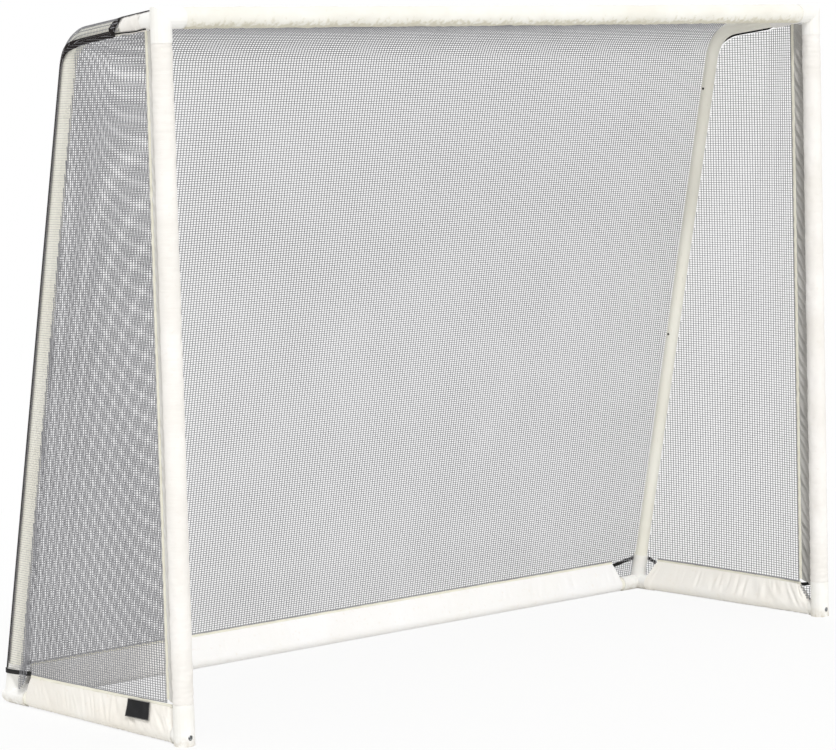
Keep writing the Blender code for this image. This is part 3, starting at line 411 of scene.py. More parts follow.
tag_satin, tree = new_material("black_satin_woven_tag")
flat = add(tree, "UVMap", output="UV", uv_map=FLAT_MAP)
solid = add(tree, "TexCoord", output="Object")
from_edges = []
for axis, size in (("X", TAG_WIDTH), ("Y", TAG_HEIGHT)):
    place = add(tree, "SeparateXYZ", {"Vector": flat}, axis)
    off_middle = add(tree, "Math", {0: place, 1: size / 2}, operation="SUBTRACT")
    to_middle = add(tree, "Math", {0: off_middle}, operation="ABSOLUTE")
    from_edges.append(add(tree, "Math", {0: size / 2, 1: to_middle}, operation="SUBTRACT"))
nearest = add(tree, "Math", {0: from_edges[0], 1: from_edges[1]}, operation="MINIMUM")
border = add(tree, "Math", {0: nearest, 1: TAG_BORDER}, operation="LESS_THAN")
floats = {"Vector": flat, "Scale": WAVE_REPEAT / SATIN_FLOAT}
satin = add(tree, "TexWave", floats, "Fac", bands_direction="DIAGONAL")
patches = clouds(tree, solid, 0.02)
tone = add(tree, "Math", {0: patches, 1: 0.8}, operation="MULTIPLY")
colour = add(tree, "Mix", {"Factor": tone, 6: "#0B0B0E", 7: "#17171B"}, **COLOURS)
colour = add(tree, "Mix", {"Factor": border, 6: colour, 7: "#8F8D8A"}, **COLOURS)
relief = add(tree, "Bump", {"Height": satin, "Strength": 0.4, "Distance": 0.0002})
gloss = add(tree, "MapRange", {"Value": patches, "To Min": 0.35, "To Max": 0.5})
shine = {"Roughness": gloss, "IOR": CLOTH_IOR, "Specular IOR Level": 0.25}
finish_material(tree, {"Base Color": colour, "Normal": relief, **shine})
print("tag:", tag_satin.name)

# %% [markdown]
# ### Knotless polyethylene netting
#
# The net is twisted polyethylene twine. Its plies make a fine diagonal relief, and its colour is darker in
# the grooves between them, a painted shade. Dust and sun have left it a grey that varies a little from
# place to place. The lay of the real twine is about 2 mm, drawn as is: u runs round each thread and v along
# it, so diagonal bands wind round the thread.

# %% Twisted net twine
TWINE_WIDTH = 0.0015
TWINE_LAY = 0.0019

twine, tree = new_material("twisted_polyethylene_twine")
flat = add(tree, "UVMap", output="UV", uv_map=FLAT_MAP)
solid = add(tree, "TexCoord", output="Object")
wound = {"Vector": flat, "Scale": WAVE_REPEAT / TWINE_LAY}
plies = add(tree, "TexWave", wound, "Fac", bands_direction="DIAGONAL")
faded = clouds(tree, solid, 0.22)
slow = add(tree, "Math", {0: faded, 1: 0.7}, operation="MULTIPLY")
# Painted shade: the colour follows the plies, darker in the grooves between them.
fine = add(tree, "Math", {0: plies, 1: 0.3}, operation="MULTIPLY")
tone = add(tree, "Math", {0: slow, 1: fine}, operation="ADD")
colour = add(tree, "Mix", {"Factor": tone, 6: "#8C8C90", 7: "#A0A0A4"}, **COLOURS)
relief = add(tree, "Bump", {"Height": plies, "Strength": 0.6, "Distance": 0.0002})
gloss = add(tree, "MapRange", {"Value": faded, "To Min": 0.5, "To Max": 0.65})
finish_material(tree, {"Base Color": colour, "Roughness": gloss, "IOR": 1.5, "Normal": relief})
print("twine:", twine.name)

# %% [markdown]
# ### Powder-coated steel tube
#
# The bare tubes are steel with a baked powder coat: cream white, half gloss, with the faint orange-peel
# ripple that powder leaves as it melts. The ripple is 1 to 2 mm across and very shallow, drawn at 2.5 mm.
# Handling leaves a few dull grey rubs, mostly drawn along the tube.

# %% Powder coat
PEEL = 0.0025
RUBS_PER_METRE = (180.0, 180.0, 14.0)

tube_coat, tree = new_material("powder_coated_steel")
solid = add(tree, "TexCoord", output="Object")
peel = add(tree, "TexNoise", {"Vector": solid, "Scale": 1 / PEEL, "Detail": 1.0}, "Fac")
colour = add(tree, "Mix", {"Factor": clouds(tree, solid, 0.25), 6: "#F7F4E7", 7: "#FCFAEF"}, **COLOURS)
drawn_out = add(tree, "Mapping", {"Vector": solid, "Scale": RUBS_PER_METRE})
rubs = add(tree, "TexNoise", {"Vector": drawn_out, "Scale": 1.0, "Detail": 4.0}, "Fac")
rubbed = add(tree, "MapRange", {"Value": rubs, "From Min": 0.64, "From Max": 0.74})
where = clouds(tree, solid, 0.30, 2.0, 0.50, 0.62)
here = add(tree, "Math", {0: rubbed, 1: where}, operation="MULTIPLY")
amount = add(tree, "Math", {0: here, 1: 0.45}, operation="MULTIPLY")
colour = add(tree, "Mix", {"Factor": amount, 6: colour, 7: "#C4BEAF"}, **COLOURS)
relief = add(tree, "Bump", {"Height": peel, "Strength": 0.12, "Distance": 0.0002})
gloss = add(tree, "MapRange", {"Value": amount, "From Max": 0.4, "To Min": 0.3, "To Max": 0.55})
finish_material(tree, {"Base Color": colour, "Roughness": gloss, "IOR": 1.5, "Normal": relief})
print("tube finish:", tube_coat.name)

# %% [markdown]
# ### Moulded plastic fittings
#
# The corners, feet and plugs are injection-moulded nylon. The mould's spark-eroded walls leave an even fine
# grain, about 0.5 mm, drawn at 1 mm, and the surface is duller than the tubes. Dirt gathers low on the
# parts that stand on the ground.

# %% Moulded nylon
GRAIN = 0.001
GRIME_TOP_Z = 0.03

nylon, tree = new_material("moulded_nylon_fitting")
solid = add(tree, "TexCoord", output="Object")
grain = add(tree, "TexVoronoi", {"Vector": solid, "Scale": 1 / GRAIN}, "Distance", feature="SMOOTH_F1")
patches = clouds(tree, solid, 0.06)
colour = add(tree, "Mix", {"Factor": patches, 6: "#F7F5EF", 7: "#FCFBF8"}, **COLOURS)
height = add(tree, "SeparateXYZ", {"Vector": solid}, "Z")
low_down = add(tree, "MapRange", {"Value": height, "From Min": GRIME_TOP_Z, "From Max": 0.0})
here = add(tree, "Math", {0: low_down, 1: clouds(tree, solid, 0.015)}, operation="MULTIPLY")
amount = add(tree, "Math", {0: here, 1: 0.6}, operation="MULTIPLY")
colour = add(tree, "Mix", {"Factor": amount, 6: colour, 7: "#B5A68C"}, **COLOURS)
relief = add(tree, "Bump", {"Height": grain, "Strength": 0.2, "Distance": 0.0002})
gloss = add(tree, "MapRange", {"Value": patches, "To Min": 0.42, "To Max": 0.55})
finish_material(tree, {"Base Color": colour, "Roughness": gloss, "IOR": 1.53, "Normal": relief})
print("fittings:", nylon.name)

# %% [markdown]
# ### Small steel parts
#
# The spring clips and screws are steel under bright zinc, and the snap buttons are steel with black oxide.
# Both are metal, so the colour sits in the reflection and the default IOR stays. Fine turning marks, 0.3 mm
# apart and drawn at 0.6 mm, break the highlight.

# %% Steel
TURNING_MARKS = 0.0006


def turned_steel(name, light, dark, gloss_low, gloss_high):
    """Turned steel under a thin finish, stained a little."""
    made, tree = new_material(name)
    solid = add(tree, "TexCoord", output="Object")
    marks = add(tree, "TexNoise", {"Vector": solid, "Scale": 1 / TURNING_MARKS, "Detail": 3.0}, "Fac")
    stain = clouds(tree, solid, 0.004)
    colour = add(tree, "Mix", {"Factor": stain, 6: dark, 7: light}, **COLOURS)
    relief = add(tree, "Bump", {"Height": marks, "Strength": 0.25, "Distance": 0.0001})
    gloss = add(tree, "MapRange", {"Value": stain, "To Min": gloss_high, "To Max": gloss_low})
    finish_material(tree, {"Base Color": colour, "Metallic": 1.0, "Roughness": gloss, "Normal": relief})
    return made


zinc = turned_steel("zinc_plated_spring_steel", "#A9ACAF", "#6E7072", 0.28, 0.5)
oxide = turned_steel("black_oxide_steel", "#4C4B49", "#242322", 0.35, 0.6)
print("steels:", zinc.name, oxide.name)

# %% Finish the nodes that stay
STAYS = {
    "tube": tube_coat, "top_corner": nylon, "rear_corner": nylon, "front_foot": nylon,
    "clip": zinc, "button": oxide, "screw": zinc, "plug": nylon,
}
finished = 0
for name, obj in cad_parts.items():
    for ending, finish in STAYS.items():
        if name.endswith(ending):
            obj.data.materials.clear()
            obj.data.materials.append(finish)
            finished += 1
print("finished nodes:", finished)

# %% [markdown]
# ## Mesh helpers
#
# Cloth is a grid of points with its flat lengths in the UV map. A flat band, such as a tape or strap, is a
# rounded rectangle swept along a line. Both are written from arrays, which stays quick for long pieces.


# %% Cloth
def mapped_piece(name, points, faces, flats, finish):
    """A smooth object that rides on the goal's frame. flats holds the flat lengths at each face's corners."""
    mesh = bpy.data.meshes.new(name)
    mesh.from_pydata(points.reshape(-1, 3).tolist(), [], faces)
    mesh.uv_layers.new(name=FLAT_MAP).uv.foreach_set("vector", flats.astype(np.float32).ravel())
    mesh.shade_smooth()
    mesh.materials.append(finish)
    made = bpy.data.objects.new(name, mesh)
    bpy.context.scene.collection.objects.link(made)
    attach(made, "goal_frame")
    return made


def cloth_piece(name, grid, flat, finish):
    """An object from points [row][column] of a cloth that is flat[0] wide and flat[1] long when laid out."""
    rows, columns = grid.shape[:2]
    first = (np.arange(rows - 1)[:, None] * columns + np.arange(columns - 1)).ravel()
    faces = np.stack([first, first + 1, first + columns + 1, first + columns], 1)
    lengths = np.stack(np.meshgrid(np.linspace(0, flat[0], columns), np.linspace(0, flat[1], rows)), -1)
    return mapped_piece(name, grid, faces.tolist(), lengths.reshape(-1, 2)[faces.ravel()], finish)


def sewn_in(piece, slot, flat, held, rests_on, stands_for=(), **more):
    if stands_for:
        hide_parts(*stands_for)
    print(f"{piece.name}: {len(piece.data.polygons)} faces, {flat[0]:.3f} by {flat[1]:.3f} m laid flat")


# %% Bands
def unit_rows(vectors):
    """Each row scaled to a length of 1."""
    return vectors / np.linalg.norm(vectors, axis=1)[:, None]


def lengths_along(line):
    """How far along a line each of its points is."""
    return np.concatenate([[0], np.cumsum(np.linalg.norm(np.diff(line, axis=0), axis=1))])


def band_section(width, thickness):
    """Eight points of a thin rounded rectangle: (along the width, along the thickness)."""
    edge, near, face = width / 2, width / 2 - thickness / 3, thickness / 2
    round_off = thickness / 5
    return [
        (-edge, -round_off), (-near, -face), (near, -face), (edge, -round_off),
        (edge, round_off), (near, face), (-near, face), (-edge, round_off),
    ]


def closed_band(name, rings, flats, finish, mirrored=False):
    """A closed band through rings of points. flats holds each point's place on the band when laid out."""
    count, size = len(rings), len(rings[0])
    faces = []
    for i in range(count - 1):
        for k in range(size):
            j = (k + 1) % size
            faces.append((i * size + k, i * size + j, (i + 1) * size + j, (i + 1) * size + k))
    faces += [tuple(range(size - 1, -1, -1)), tuple(range((count - 1) * size, count * size))]
    if mirrored:
        faces = [face[::-1] for face in faces]
    at_corners = np.reshape(flats, (-1, 2))[[corner for face in faces for corner in face]]
    return mapped_piece(name, np.array(rings), faces, at_corners, finish)


def band(name, line, across, width, thickness, finish):
    """A closed band along a line of points; across gives the width's direction at each point."""
    line = np.array(line, float)
    across = unit_rows(np.array(across, float))
    along = unit_rows(np.gradient(line, axis=0))
    out = unit_rows(np.cross(across, along))
    section = band_section(width, thickness)
    rings = np.stack([line + across * a + out * b for a, b in section], 1)
    lengths = lengths_along(line)
    flats = [[(a + width / 2, length) for a, _ in section] for length in lengths]
    made = closed_band(name, rings, flats, finish)
    made.data.set_sharp_from_angle(angle=radians(60))
    return made, lengths[-1]


# %% Uneven shapes
def ripple(x, y, z):
    """Smooth noise between about -1 and 1."""
    return noise.noise(Vector((x, y, z)))


def ease(value, low, high):
    """0 below low, 1 above high, and smooth between them."""
    t = min(1.0, max(0.0, (value - low) / (high - low)))
    return t * t * (3 - 2 * t)


# %% [markdown]
# ## Netting
#
# The net in the photograph has meshes of about 10 mm by 7 mm. Every thread is modelled, because light has
# to pass between them and the two layers have to show through each other. A thread is a four-sided prism
# with smooth shading: at this size it reads as round. The main net is one cloth that runs from the crossbar
# over the roof and the bends down to the rear skirt, and its edges wrap round the side tubes. The
# alternative, a flat sheet with a pattern of holes in its material, would look thin at an angle.

# %% Threads
class Twine:
    """Threads gathered into one mesh."""

    def __init__(self):
        self.points, self.faces, self.flats, self.start, self.total = [], [], [], 0, 0.0

    def add(self, line, outward, width=TWINE_WIDTH):
        """One thread along a line of points; outward is the net's normal at each point."""
        line = np.array(line, float)
        along = unit_rows(np.gradient(line, axis=0))
        across = unit_rows(np.cross(along, np.array(outward, float)))
        up = np.cross(across, along)
        half = width / 2
        corners = ((-half, -half), (half, -half), (half, half), (-half, half))
        ring = [line + across * a + up * b for a, b in corners]
        count = len(line)
        sides = np.arange(4)
        steps = self.start + np.arange(count - 1)[:, None] * 4
        first, second = (steps + sides).ravel(), (steps + (sides + 1) % 4).ravel()
        self.points.append(np.stack(ring, 1).reshape(-1, 3))
        self.faces.append(np.stack([first, first + 4, second + 4, second], 1))
        lengths = lengths_along(line)
        round_it = np.tile(np.stack([sides, sides, sides + 1, sides + 1], 1) * width, (count - 1, 1))
        below, above = np.repeat(lengths[:-1], 4), np.repeat(lengths[1:], 4)
        self.flats.append(np.stack([round_it, np.stack([below, above, above, below], 1)], -1))
        self.start += 4 * count
        self.total += lengths[-1]

    def finish(self, name):
        """The threads as one object."""
        print(f"{name}: {self.total:.0f} m of twine")
        points, faces = np.concatenate(self.points), np.concatenate(self.faces).tolist()
        return mapped_piece(name, points, faces, np.concatenate(self.flats), twine)


# %% Where the main net's edge runs
EDGE_UNDER_BAR = radians(131)
EDGE_ON_UPRIGHT = radians(62)
THREADS_ON_UPRIGHT = radians(54)
EDGE_ON_TOP = radians(20)
SLEEVE_END_LENGTH = 0.128
BEND_PASSED_LENGTH = 0.46


def edge_turn(length):
    """How far round the tube, from its outward side, the main net reaches at this length along the frame."""
    return EDGE_UNDER_BAR + (EDGE_ON_UPRIGHT - EDGE_UNDER_BAR) * ease(length, 0.30, 0.445)


def on_tube(side, length, turn, radius):
    """A point round a side tube: turn 0 faces outward, and 90 degrees faces away from the goal's middle."""
    axis, outward = frame_station(length)
    point = axis + outward * radius * cos(turn)
    return Vector((side * (HALF_SPAN + radius * sin(turn)), point.y, point.z))


# %% Shape of the main net
ACROSS_PITCH = 0.00954
ALONG_PITCH = 0.0066
ROOF_SAG = 0.006
BACK_WAVE = 0.0012
WEAVE_WANDER = 0.0003
REAR_SKIRT_TOP = {-1: 1.128, 1: 1.087}
REAR_SKIRT_LOW = {-1: 1.146, 1: 1.112}
UPRIGHT_INNER = 1.190
PRESSED_WIDTH = 0.0006
PRESSED_END_LENGTH = 0.42


def main_net_point(length, reach):
    """Point and normal of the main net: length along the frame, reach across it from the middle."""
    axis, outward = frame_station(length)
    side = 1 if reach >= 0 else -1
    flat = min(abs(reach), HALF_SPAN)
    turn = (abs(reach) - flat) / NET_OFF
    inner = 1 - (flat / HALF_SPAN) ** 2
    sag = -ROOF_SAG * inner * ease(length, 0.0, 0.12) * (1 - ease(length, 0.25, 0.6))
    wave = BACK_WAVE * inner * ripple(flat * side * 1.6, length * 1.4, 4.2)
    x = side * (flat + NET_OFF * sin(turn)) + WEAVE_WANDER * inner * ripple(flat * side * 5, length * 5, 7.7)
    point = axis + outward * (NET_OFF * cos(turn) + sag + wave)
    normal = outward * cos(turn) + Vector((side * sin(turn), 0, 0))
    return Vector((x, point.y, point.z)), normal


def reach_limit(length):
    """How far across the net goes at this length: part way round the side sleeve, then to its bound edge."""
    if length < SLEEVE_END_LENGTH:
        return HALF_SPAN + NET_OFF * EDGE_ON_TOP
    return HALF_SPAN + NET_OFF * edge_turn(length)


def across_limit(length):
    """How far across the net its cross threads stand proud: past this they are pressed flat on the tube."""
    gained = (THREADS_ON_UPRIGHT - EDGE_ON_TOP) * ease(length, 0.36, BEND_PASSED_LENGTH)
    return HALF_SPAN + NET_OFF * (EDGE_ON_TOP + gained)


def skirt_edge(side, length):
    """The slanted end of the rear skirt, beside which a corner of the net hangs."""
    share = (length - NET_LENGTH) / (PATCH_LENGTH - NET_LENGTH)
    return side * (REAR_SKIRT_TOP[side] + (REAR_SKIRT_LOW[side] - REAR_SKIRT_TOP[side]) * share)


# %% Threads across the main net
main_net = Twine()


def lay_thread(places, width=TWINE_WIDTH):
    """Add a thread of the main net through (length, reach) places."""
    placed = [main_net_point(length, reach) for length, reach in places]
    main_net.add([point for point, _ in placed], [normal for _, normal in placed], width)


round_tube = [HALF_SPAN + NET_OFF * pi / 2 * k / 5 for k in range(8)]
bends = [*round_tube, *[-reach for reach in round_tube], *np.linspace(-1.12, 1.12, 15)]
for length in np.arange(0.0, PATCH_LENGTH, ALONG_PITCH):
    limit = across_limit(length)
    spans = [(-limit, limit)]
    if SLEEVE_END_LENGTH < length < PRESSED_END_LENGTH:
        for side in (-1, 1):
            reaches = np.linspace(limit, reach_limit(length), 7)
            lay_thread([(length, side * reach) for reach in reaches], PRESSED_WIDTH)
    if length > NET_LENGTH:
        spans = [(-UPRIGHT_INNER, skirt_edge(-1, length)), (skirt_edge(1, length), UPRIGHT_INNER)]
    for low, high in spans:
        reaches = {low, high, *[reach for reach in bends if low < reach < high]}
        lay_thread([(length, reach) for reach in sorted(reaches)])
print("threads across:", round(main_net.total), "m")

# %% Threads along the main net
SEAM_CORD = 0.0022
FRONT_SEAM_LENGTH = 0.002
NET_CUT_WIDTH = 2 * (HALF_SPAN + NET_OFF * EDGE_ON_UPRIGHT)

open_marks = [*np.linspace(0, 0.2, 3), *np.linspace(0.235, 0.47, 9), *np.linspace(0.6, NET_LENGTH, 9)]
wrapped_marks = np.linspace(0, NET_LENGTH, 160)
widest = floor((HALF_SPAN + NET_OFF * EDGE_UNDER_BAR) / ACROSS_PITCH)
for reach in np.arange(-widest, widest + 1) * ACROSS_PITCH:
    side = 1 if reach > 0 else -1
    marks = open_marks
    if abs(reach) > HALF_SPAN:
        marks = [s for s in wrapped_marks if reach_limit(s) >= abs(reach)]
        marks = [s for s in marks if s < BEND_PASSED_LENGTH or across_limit(s) >= abs(reach)]
    elif REAR_SKIRT_TOP[side] < abs(reach) < UPRIGHT_INNER:
        share = (abs(reach) - REAR_SKIRT_TOP[side]) / (REAR_SKIRT_LOW[side] - REAR_SKIRT_TOP[side])
        marks = open_marks + [NET_LENGTH + (PATCH_LENGTH - NET_LENGTH) * min(1.0, share)]
    if len(marks) > 1:
        lay_thread([(length, reach) for length in marks])
rear_seam = (-REAR_SKIRT_TOP[-1], REAR_SKIRT_TOP[1], NET_LENGTH)
for low, high, length in (rear_seam, (-HALF_SPAN, HALF_SPAN, FRONT_SEAM_LENGTH)):
    lay_thread([(length, reach) for reach in np.linspace(low, high, 25)], SEAM_CORD)
sewn_in(
    main_net.finish("main_net_threads"), "grey_net", (NET_CUT_WIDTH, NET_LENGTH), "stretched",
    ["crossbar_sleeve", "rear_skirt_tape"], ["roof_net", "shoulder_net", "back_net"],
)

# %% [markdown]
# ## The net's bound edge
#
# The main net's side edges are folded into a dark woven binding. In the photograph it starts as a thin line
# on the side sleeve's top, turns down round the tube where the sleeve ends, runs on under the bar, comes up
# over the bend and follows the upright down to the corner strap. Under the bar its dark width is also
# painted shade for the bar's shaded underside. A second thin line goes on forward below the sleeve, all
# painted shade along the sleeve's underside. Both are drawn flat, as length along the tube against distance
# round it, and then wrapped: that keeps their width true through the turns.

# %% Bound edge
BINDING_RADIUS = 0.0250
BINDING_THICKNESS = 0.0012
BINDING_WIDTH = 0.021
BINDING_LINE_WIDTH = 0.004
TURN_RADIUS = 0.0115
TURN_LEAN = 0.026
BINDING_STEP = 0.012
BEND_STEPS_END = 0.52
UPRIGHT_STEPS_START = 0.56


def binding_path():
    """(length, distance round, width) along the binding."""
    ring = SLEEVE_END_LENGTH + 0.006
    top = EDGE_ON_TOP * BINDING_RADIUS
    under = EDGE_UNDER_BAR * BINDING_RADIUS
    path = [(s, top, BINDING_LINE_WIDTH) for s in np.linspace(0.006, ring - TURN_RADIUS, 12)]
    for angle in np.linspace(0, pi / 2, 7)[1:]:
        width = BINDING_LINE_WIDTH + (BINDING_WIDTH - BINDING_LINE_WIDTH) * angle / (pi / 2)
        down = top + TURN_RADIUS * (1 - cos(angle))
        path.append((ring - TURN_RADIUS + TURN_RADIUS * sin(angle), down, width))
    # From here under the bar the binding's full width is also painted shade for the bar's shaded underside.
    path.append((ring + TURN_LEAN * 0.5, (top + under) / 2, BINDING_WIDTH))
    first = ring + TURN_LEAN
    for angle in np.linspace(0, pi / 2, 7):
        down = under - TURN_RADIUS * (1 - sin(angle))
        path.append((first + TURN_RADIUS * (1 - cos(angle)), down, BINDING_WIDTH))
    over_bend = np.arange(first + TURN_RADIUS + BINDING_STEP, BEND_STEPS_END, BINDING_STEP)
    path += [(s, edge_turn(s) * BINDING_RADIUS, BINDING_WIDTH) for s in over_bend]
    on_upright = np.linspace(UPRIGHT_STEPS_START, NET_LENGTH - 0.008, 24)
    path += [(s, EDGE_ON_UPRIGHT * BINDING_RADIUS, BINDING_WIDTH) for s in on_upright]
    return np.array(path)


def under_path():
    """Painted shade: a thin dark line below the side sleeve, from the ring to the post."""
    line = []
    for s in np.linspace(0.030, SLEEVE_END_LENGTH + 0.030, 14):
        turn = EDGE_UNDER_BAR + radians(15) * (1 - ease(s, 0.070, SLEEVE_END_LENGTH + 0.020))
        line.append((s, turn * BINDING_RADIUS, BINDING_LINE_WIDTH))
    return np.array(line)


def wrapped_band(name, side, path):
    """A closed band of binding, laid on a side tube along a flat path."""
    along = unit_rows(np.gradient(path[:, :2], axis=0))
    across = np.stack([-along[:, 1], along[:, 0]], 1)
    lengths = lengths_along(path[:, :2])
    rings, flats = [], []
    for place, way, length in zip(path, across, lengths):
        ring = []
        section = band_section(place[2], BINDING_THICKNESS)
        for a, b in section:
            s, around = place[:2] + way * a
            ring.append(on_tube(side, s, around / BINDING_RADIUS, BINDING_RADIUS + b))
        rings.append(ring)
        flats.append([(a + place[2] / 2, length) for a, _ in section])
    return closed_band(name, rings, flats, binding_and_painted_shade, mirrored=side < 0), lengths[-1]


for side, name in SIDES:
    # The line below the sleeve is painted shade along the sleeve's underside.
    below, _ = wrapped_band(f"{name}_under_sleeve_painted_shade_line", side, under_path())
    piece, cut = wrapped_band(f"{name}_net_binding_and_painted_shade", side, binding_path())
    flat = (BINDING_WIDTH, cut)
    sewn_in(piece, "black_webbing", flat, "stretched", [f"{name}_side_sleeve"], with_pieces=[below])

# %% [markdown]
# ## Side nets
#
# Each side net is cut to the side frame's outline: plumb at the front hem, leaning at the rear. Its threads
# run plumb and level, and each one is clipped to the outline. It starts in the post's plane at the hem
# tape, comes out over the tubes and ends under the binding. On the left its spare margin is gathered in
# front of the upright, a narrow doubled strip that widens downwards, and the strip's loose end hangs past
# the strap. On the right small corners hang below the straps.

# %% Side net outline
SIDE_NET_TOP_DROP = 0.0010
SLEEVE_END = 0.148
SIDE_PITCH = {"left": (0.0091, 0.0063), "right": (0.0108, 0.0071)}
SKIRT_TOP_REAR = {"left": 0.258, "right": 0.316}
SKIRT_LOW_REAR = {"left": 0.276, "right": 0.330}
MARGIN_AHEAD = {"left": 0.060, "right": 0.006}
FLAP_IN = 0.005
OUTLINE_STEPS = 17


def along_bar(distance, below):
    """A YZ point this far along the side tube from the front corner, and this far below its axis."""
    point = FRONT_CORNER + BAR_DIRECTION * distance - BAR_OUTWARD * below
    return (point.y, point.z)


def beside_upright(z, ahead):
    """A YZ point at a height, this far ahead of the upright's axis."""
    axis = REAR_CORNER + UPRIGHT_DIRECTION * ((z - REAR_CORNER.z) / UPRIGHT_DIRECTION.z)
    return (axis.y - ahead, z)


def side_outline(name):
    """The side net's edge: up the hem tape, under the tube, down the binding and back along the skirt."""
    under = REAR_R + SIDE_NET_TOP_DROP
    front_along = (NET_FRONT_Y - FRONT_Y + BAR_OUTWARD.y * under) / BAR_DIRECTION.y
    outline = [
        (NET_FRONT_Y, NET_BOTTOM_Z), along_bar(front_along, under), along_bar(SLEEVE_END, under),
        along_bar(SLEEVE_END + 0.004, -NET_OFF * cos(EDGE_UNDER_BAR)),
    ]
    for length in [*np.linspace(0.18, 0.50, OUTLINE_STEPS), NET_LENGTH]:
        axis, outward = frame_station(length)
        place = axis + outward * NET_OFF * cos(edge_turn(length))
        outline.append((place.y, place.z))
    if name == "right":
        outline += [beside_upright(z, 0.003) for z in (NET_BOTTOM_Z, PATCH_BOTTOM_Z)]
        outline.append((SKIRT_LOW_REAR[name], PATCH_BOTTOM_Z))
    return outline + [(SKIRT_TOP_REAR[name], NET_BOTTOM_Z)]


def plumb_outline(name):
    """The same outline for the plumb threads, which stop where the net meets the bend and the upright."""
    outline = side_outline(name)
    ahead = MARGIN_AHEAD[name]
    stop = outline[:3]
    for length in np.linspace(0.17, BEND_PASSED_LENGTH, OUTLINE_STEPS):
        axis, outward = frame_station(length)
        below = NET_OFF + (ahead - NET_OFF) * ease(length, 0.30, BEND_PASSED_LENGTH)
        place = axis - outward * below
        stop.append((place.y, place.z))
    stop += [beside_upright(NET_BOTTOM_Z, ahead)]
    return stop + (outline[-4:] if name == "right" else outline[-1:])


def tube_outline(name):
    """The strip between those stops and the binding, where only level threads lie over the tube."""
    bound = side_outline(name)[3 : 5 + OUTLINE_STEPS]
    stops = plumb_outline(name)[3 : 4 + OUTLINE_STEPS]
    return bound + stops[::-1]


def polygon_area(polygon):
    """Area of a polygon by the shoelace rule."""
    pairs = zip(polygon, polygon[1:] + polygon[:1])
    return abs(sum(a[0] * b[1] - b[0] * a[1] for a, b in pairs)) / 2


print("side net outline:", round(polygon_area(side_outline("left")), 3), "square metres")

# %% The left margin and the right corner
FOOT_PATCH = [(-0.3525, 0.0450), (-0.3525, 0.0860), (-0.3080, 0.0860), (-0.3330, 0.0450)]
MARGIN_WIDTHS = [(1.62, 0.010), (1.2, 0.016), (0.7, 0.024), (0.3, 0.031), (0.10, 0.036), (0.075, 0.031)]
TAIL_END = (0.048, 0.004)


def margin_outline(ahead):
    """The doubled strip in front of the upright, wider towards the ground and pointed at its end."""
    front = [beside_upright(z, ahead + width) for z, width in MARGIN_WIDTHS]
    rear = [beside_upright(z, ahead) for z, _ in MARGIN_WIDTHS]
    return rear[::-1] + front + [beside_upright(TAIL_END[0], ahead + TAIL_END[1])]


def tail_outline(ahead):
    """The strip's loose end, below the strap."""
    corners = [(NET_BOTTOM_Z, 0.0), (NET_BOTTOM_Z, MARGIN_WIDTHS[-2][1]), MARGIN_WIDTHS[-1], TAIL_END]
    return [beside_upright(z, ahead + out) for z, out in corners]


def spans_of(polygon, axis, value):
    """The stretches inside a polygon along a line where the axis (0 for y, 1 for z) has this value."""
    crossings = []
    for a, b in zip(polygon, polygon[1:] + polygon[:1]):
        if (a[axis] - value) * (b[axis] - value) < 0:
            share = (value - a[axis]) / (b[axis] - a[axis])
            crossings.append(a[1 - axis] + (b[1 - axis] - a[1 - axis]) * share)
    crossings.sort()
    return list(zip(crossings[::2], crossings[1::2]))


# %% Side net threads
THREAD_STEP = 0.085
LIFTED_STEP = 0.020
SHORTEST_THREAD = 0.004
MARGIN_LIFT = 0.0016
SIDE_NET_DEPTH = 0.72
SIDE_NET_HEIGHT = 1.742


def side_depth(y, z):
    """How far outside the post's plane the side net lies."""
    v = min(1.0, max(0.0, (z - NET_BOTTOM_Z) / (BAR_Z - NET_BOTTOM_Z)))
    rear_y = max(min(beside_upright(z, 0)[0], REAR_Y), 0.02)
    u = max(0.0, (y - NET_FRONT_Y) / (rear_y - NET_FRONT_Y))
    full_at = 2 / 3 - v / 3
    behind = max(0.0, y - rear_y) / NET_OFF
    return NET_OFF * min(1.0, u / full_at) - NET_OFF * (1 - cos(min(1.2, behind))) * 0.8


def side_net_point(side, y, z, lift=0.0):
    """A point of the side net. A lifted one lies over it, and further out where the strap passes under."""
    rear = 0.25 - 0.3 * z / BAR_Z
    inner = ease(y, NET_FRONT_Y, NET_FRONT_Y + 0.15) * (1 - ease(y, rear, rear + 0.11))
    held_in = FLAP_IN * (1 - ease(y, NET_FRONT_Y, NET_FRONT_Y + 0.10))
    over_strap = 1 + 1.8 * (1 - ease(z, 0.105, 0.150))
    wave = BACK_WAVE * inner * ripple(y * 3.0 + side * 9, z * 1.7, 1.3)
    depth = side_depth(y, z) - held_in + lift * over_strap + wave
    wander = WEAVE_WANDER * inner
    return Vector((
        side * (HALF_SPAN + depth),
        y + wander * ripple(y * 9, z * 4, 2.0 + side),
        z + wander * ripple(y * 4, z * 9, 5.0 + side),
    ))


def add_thread(twines, side, axis, value, low, high, lift=0.0, width=TWINE_WIDTH):
    """One thread of the side net along a span, its points closer together on the lifted strip."""
    step = LIFTED_STEP if lift else THREAD_STEP
    places = np.linspace(low, high, max(2, ceil((high - low) / step) + 1))
    line = [side_net_point(side, *((value, p) if axis == 0 else (p, value)), lift) for p in places]
    twines.add(line, [Vector((side, 0, 0))] * len(line), width)


def fill_with_threads(twines, side, polygon, pitch, lift=0.0, offset=0.0003, ways=(0, 1), width=TWINE_WIDTH):
    """Threads across a polygon at the mesh's pitch: 0 in ways for plumb ones, 1 for level ones."""
    for axis in ways:
        values = [p[axis] for p in polygon]
        first, last = ceil(min(values) / pitch[axis]), floor(max(values) / pitch[axis])
        for value in np.arange(first, last + 1) * pitch[axis] + offset:
            for low, high in spans_of(polygon, axis, value):
                if high - low > SHORTEST_THREAD:
                    add_thread(twines, side, axis, value, low, high, lift, width)


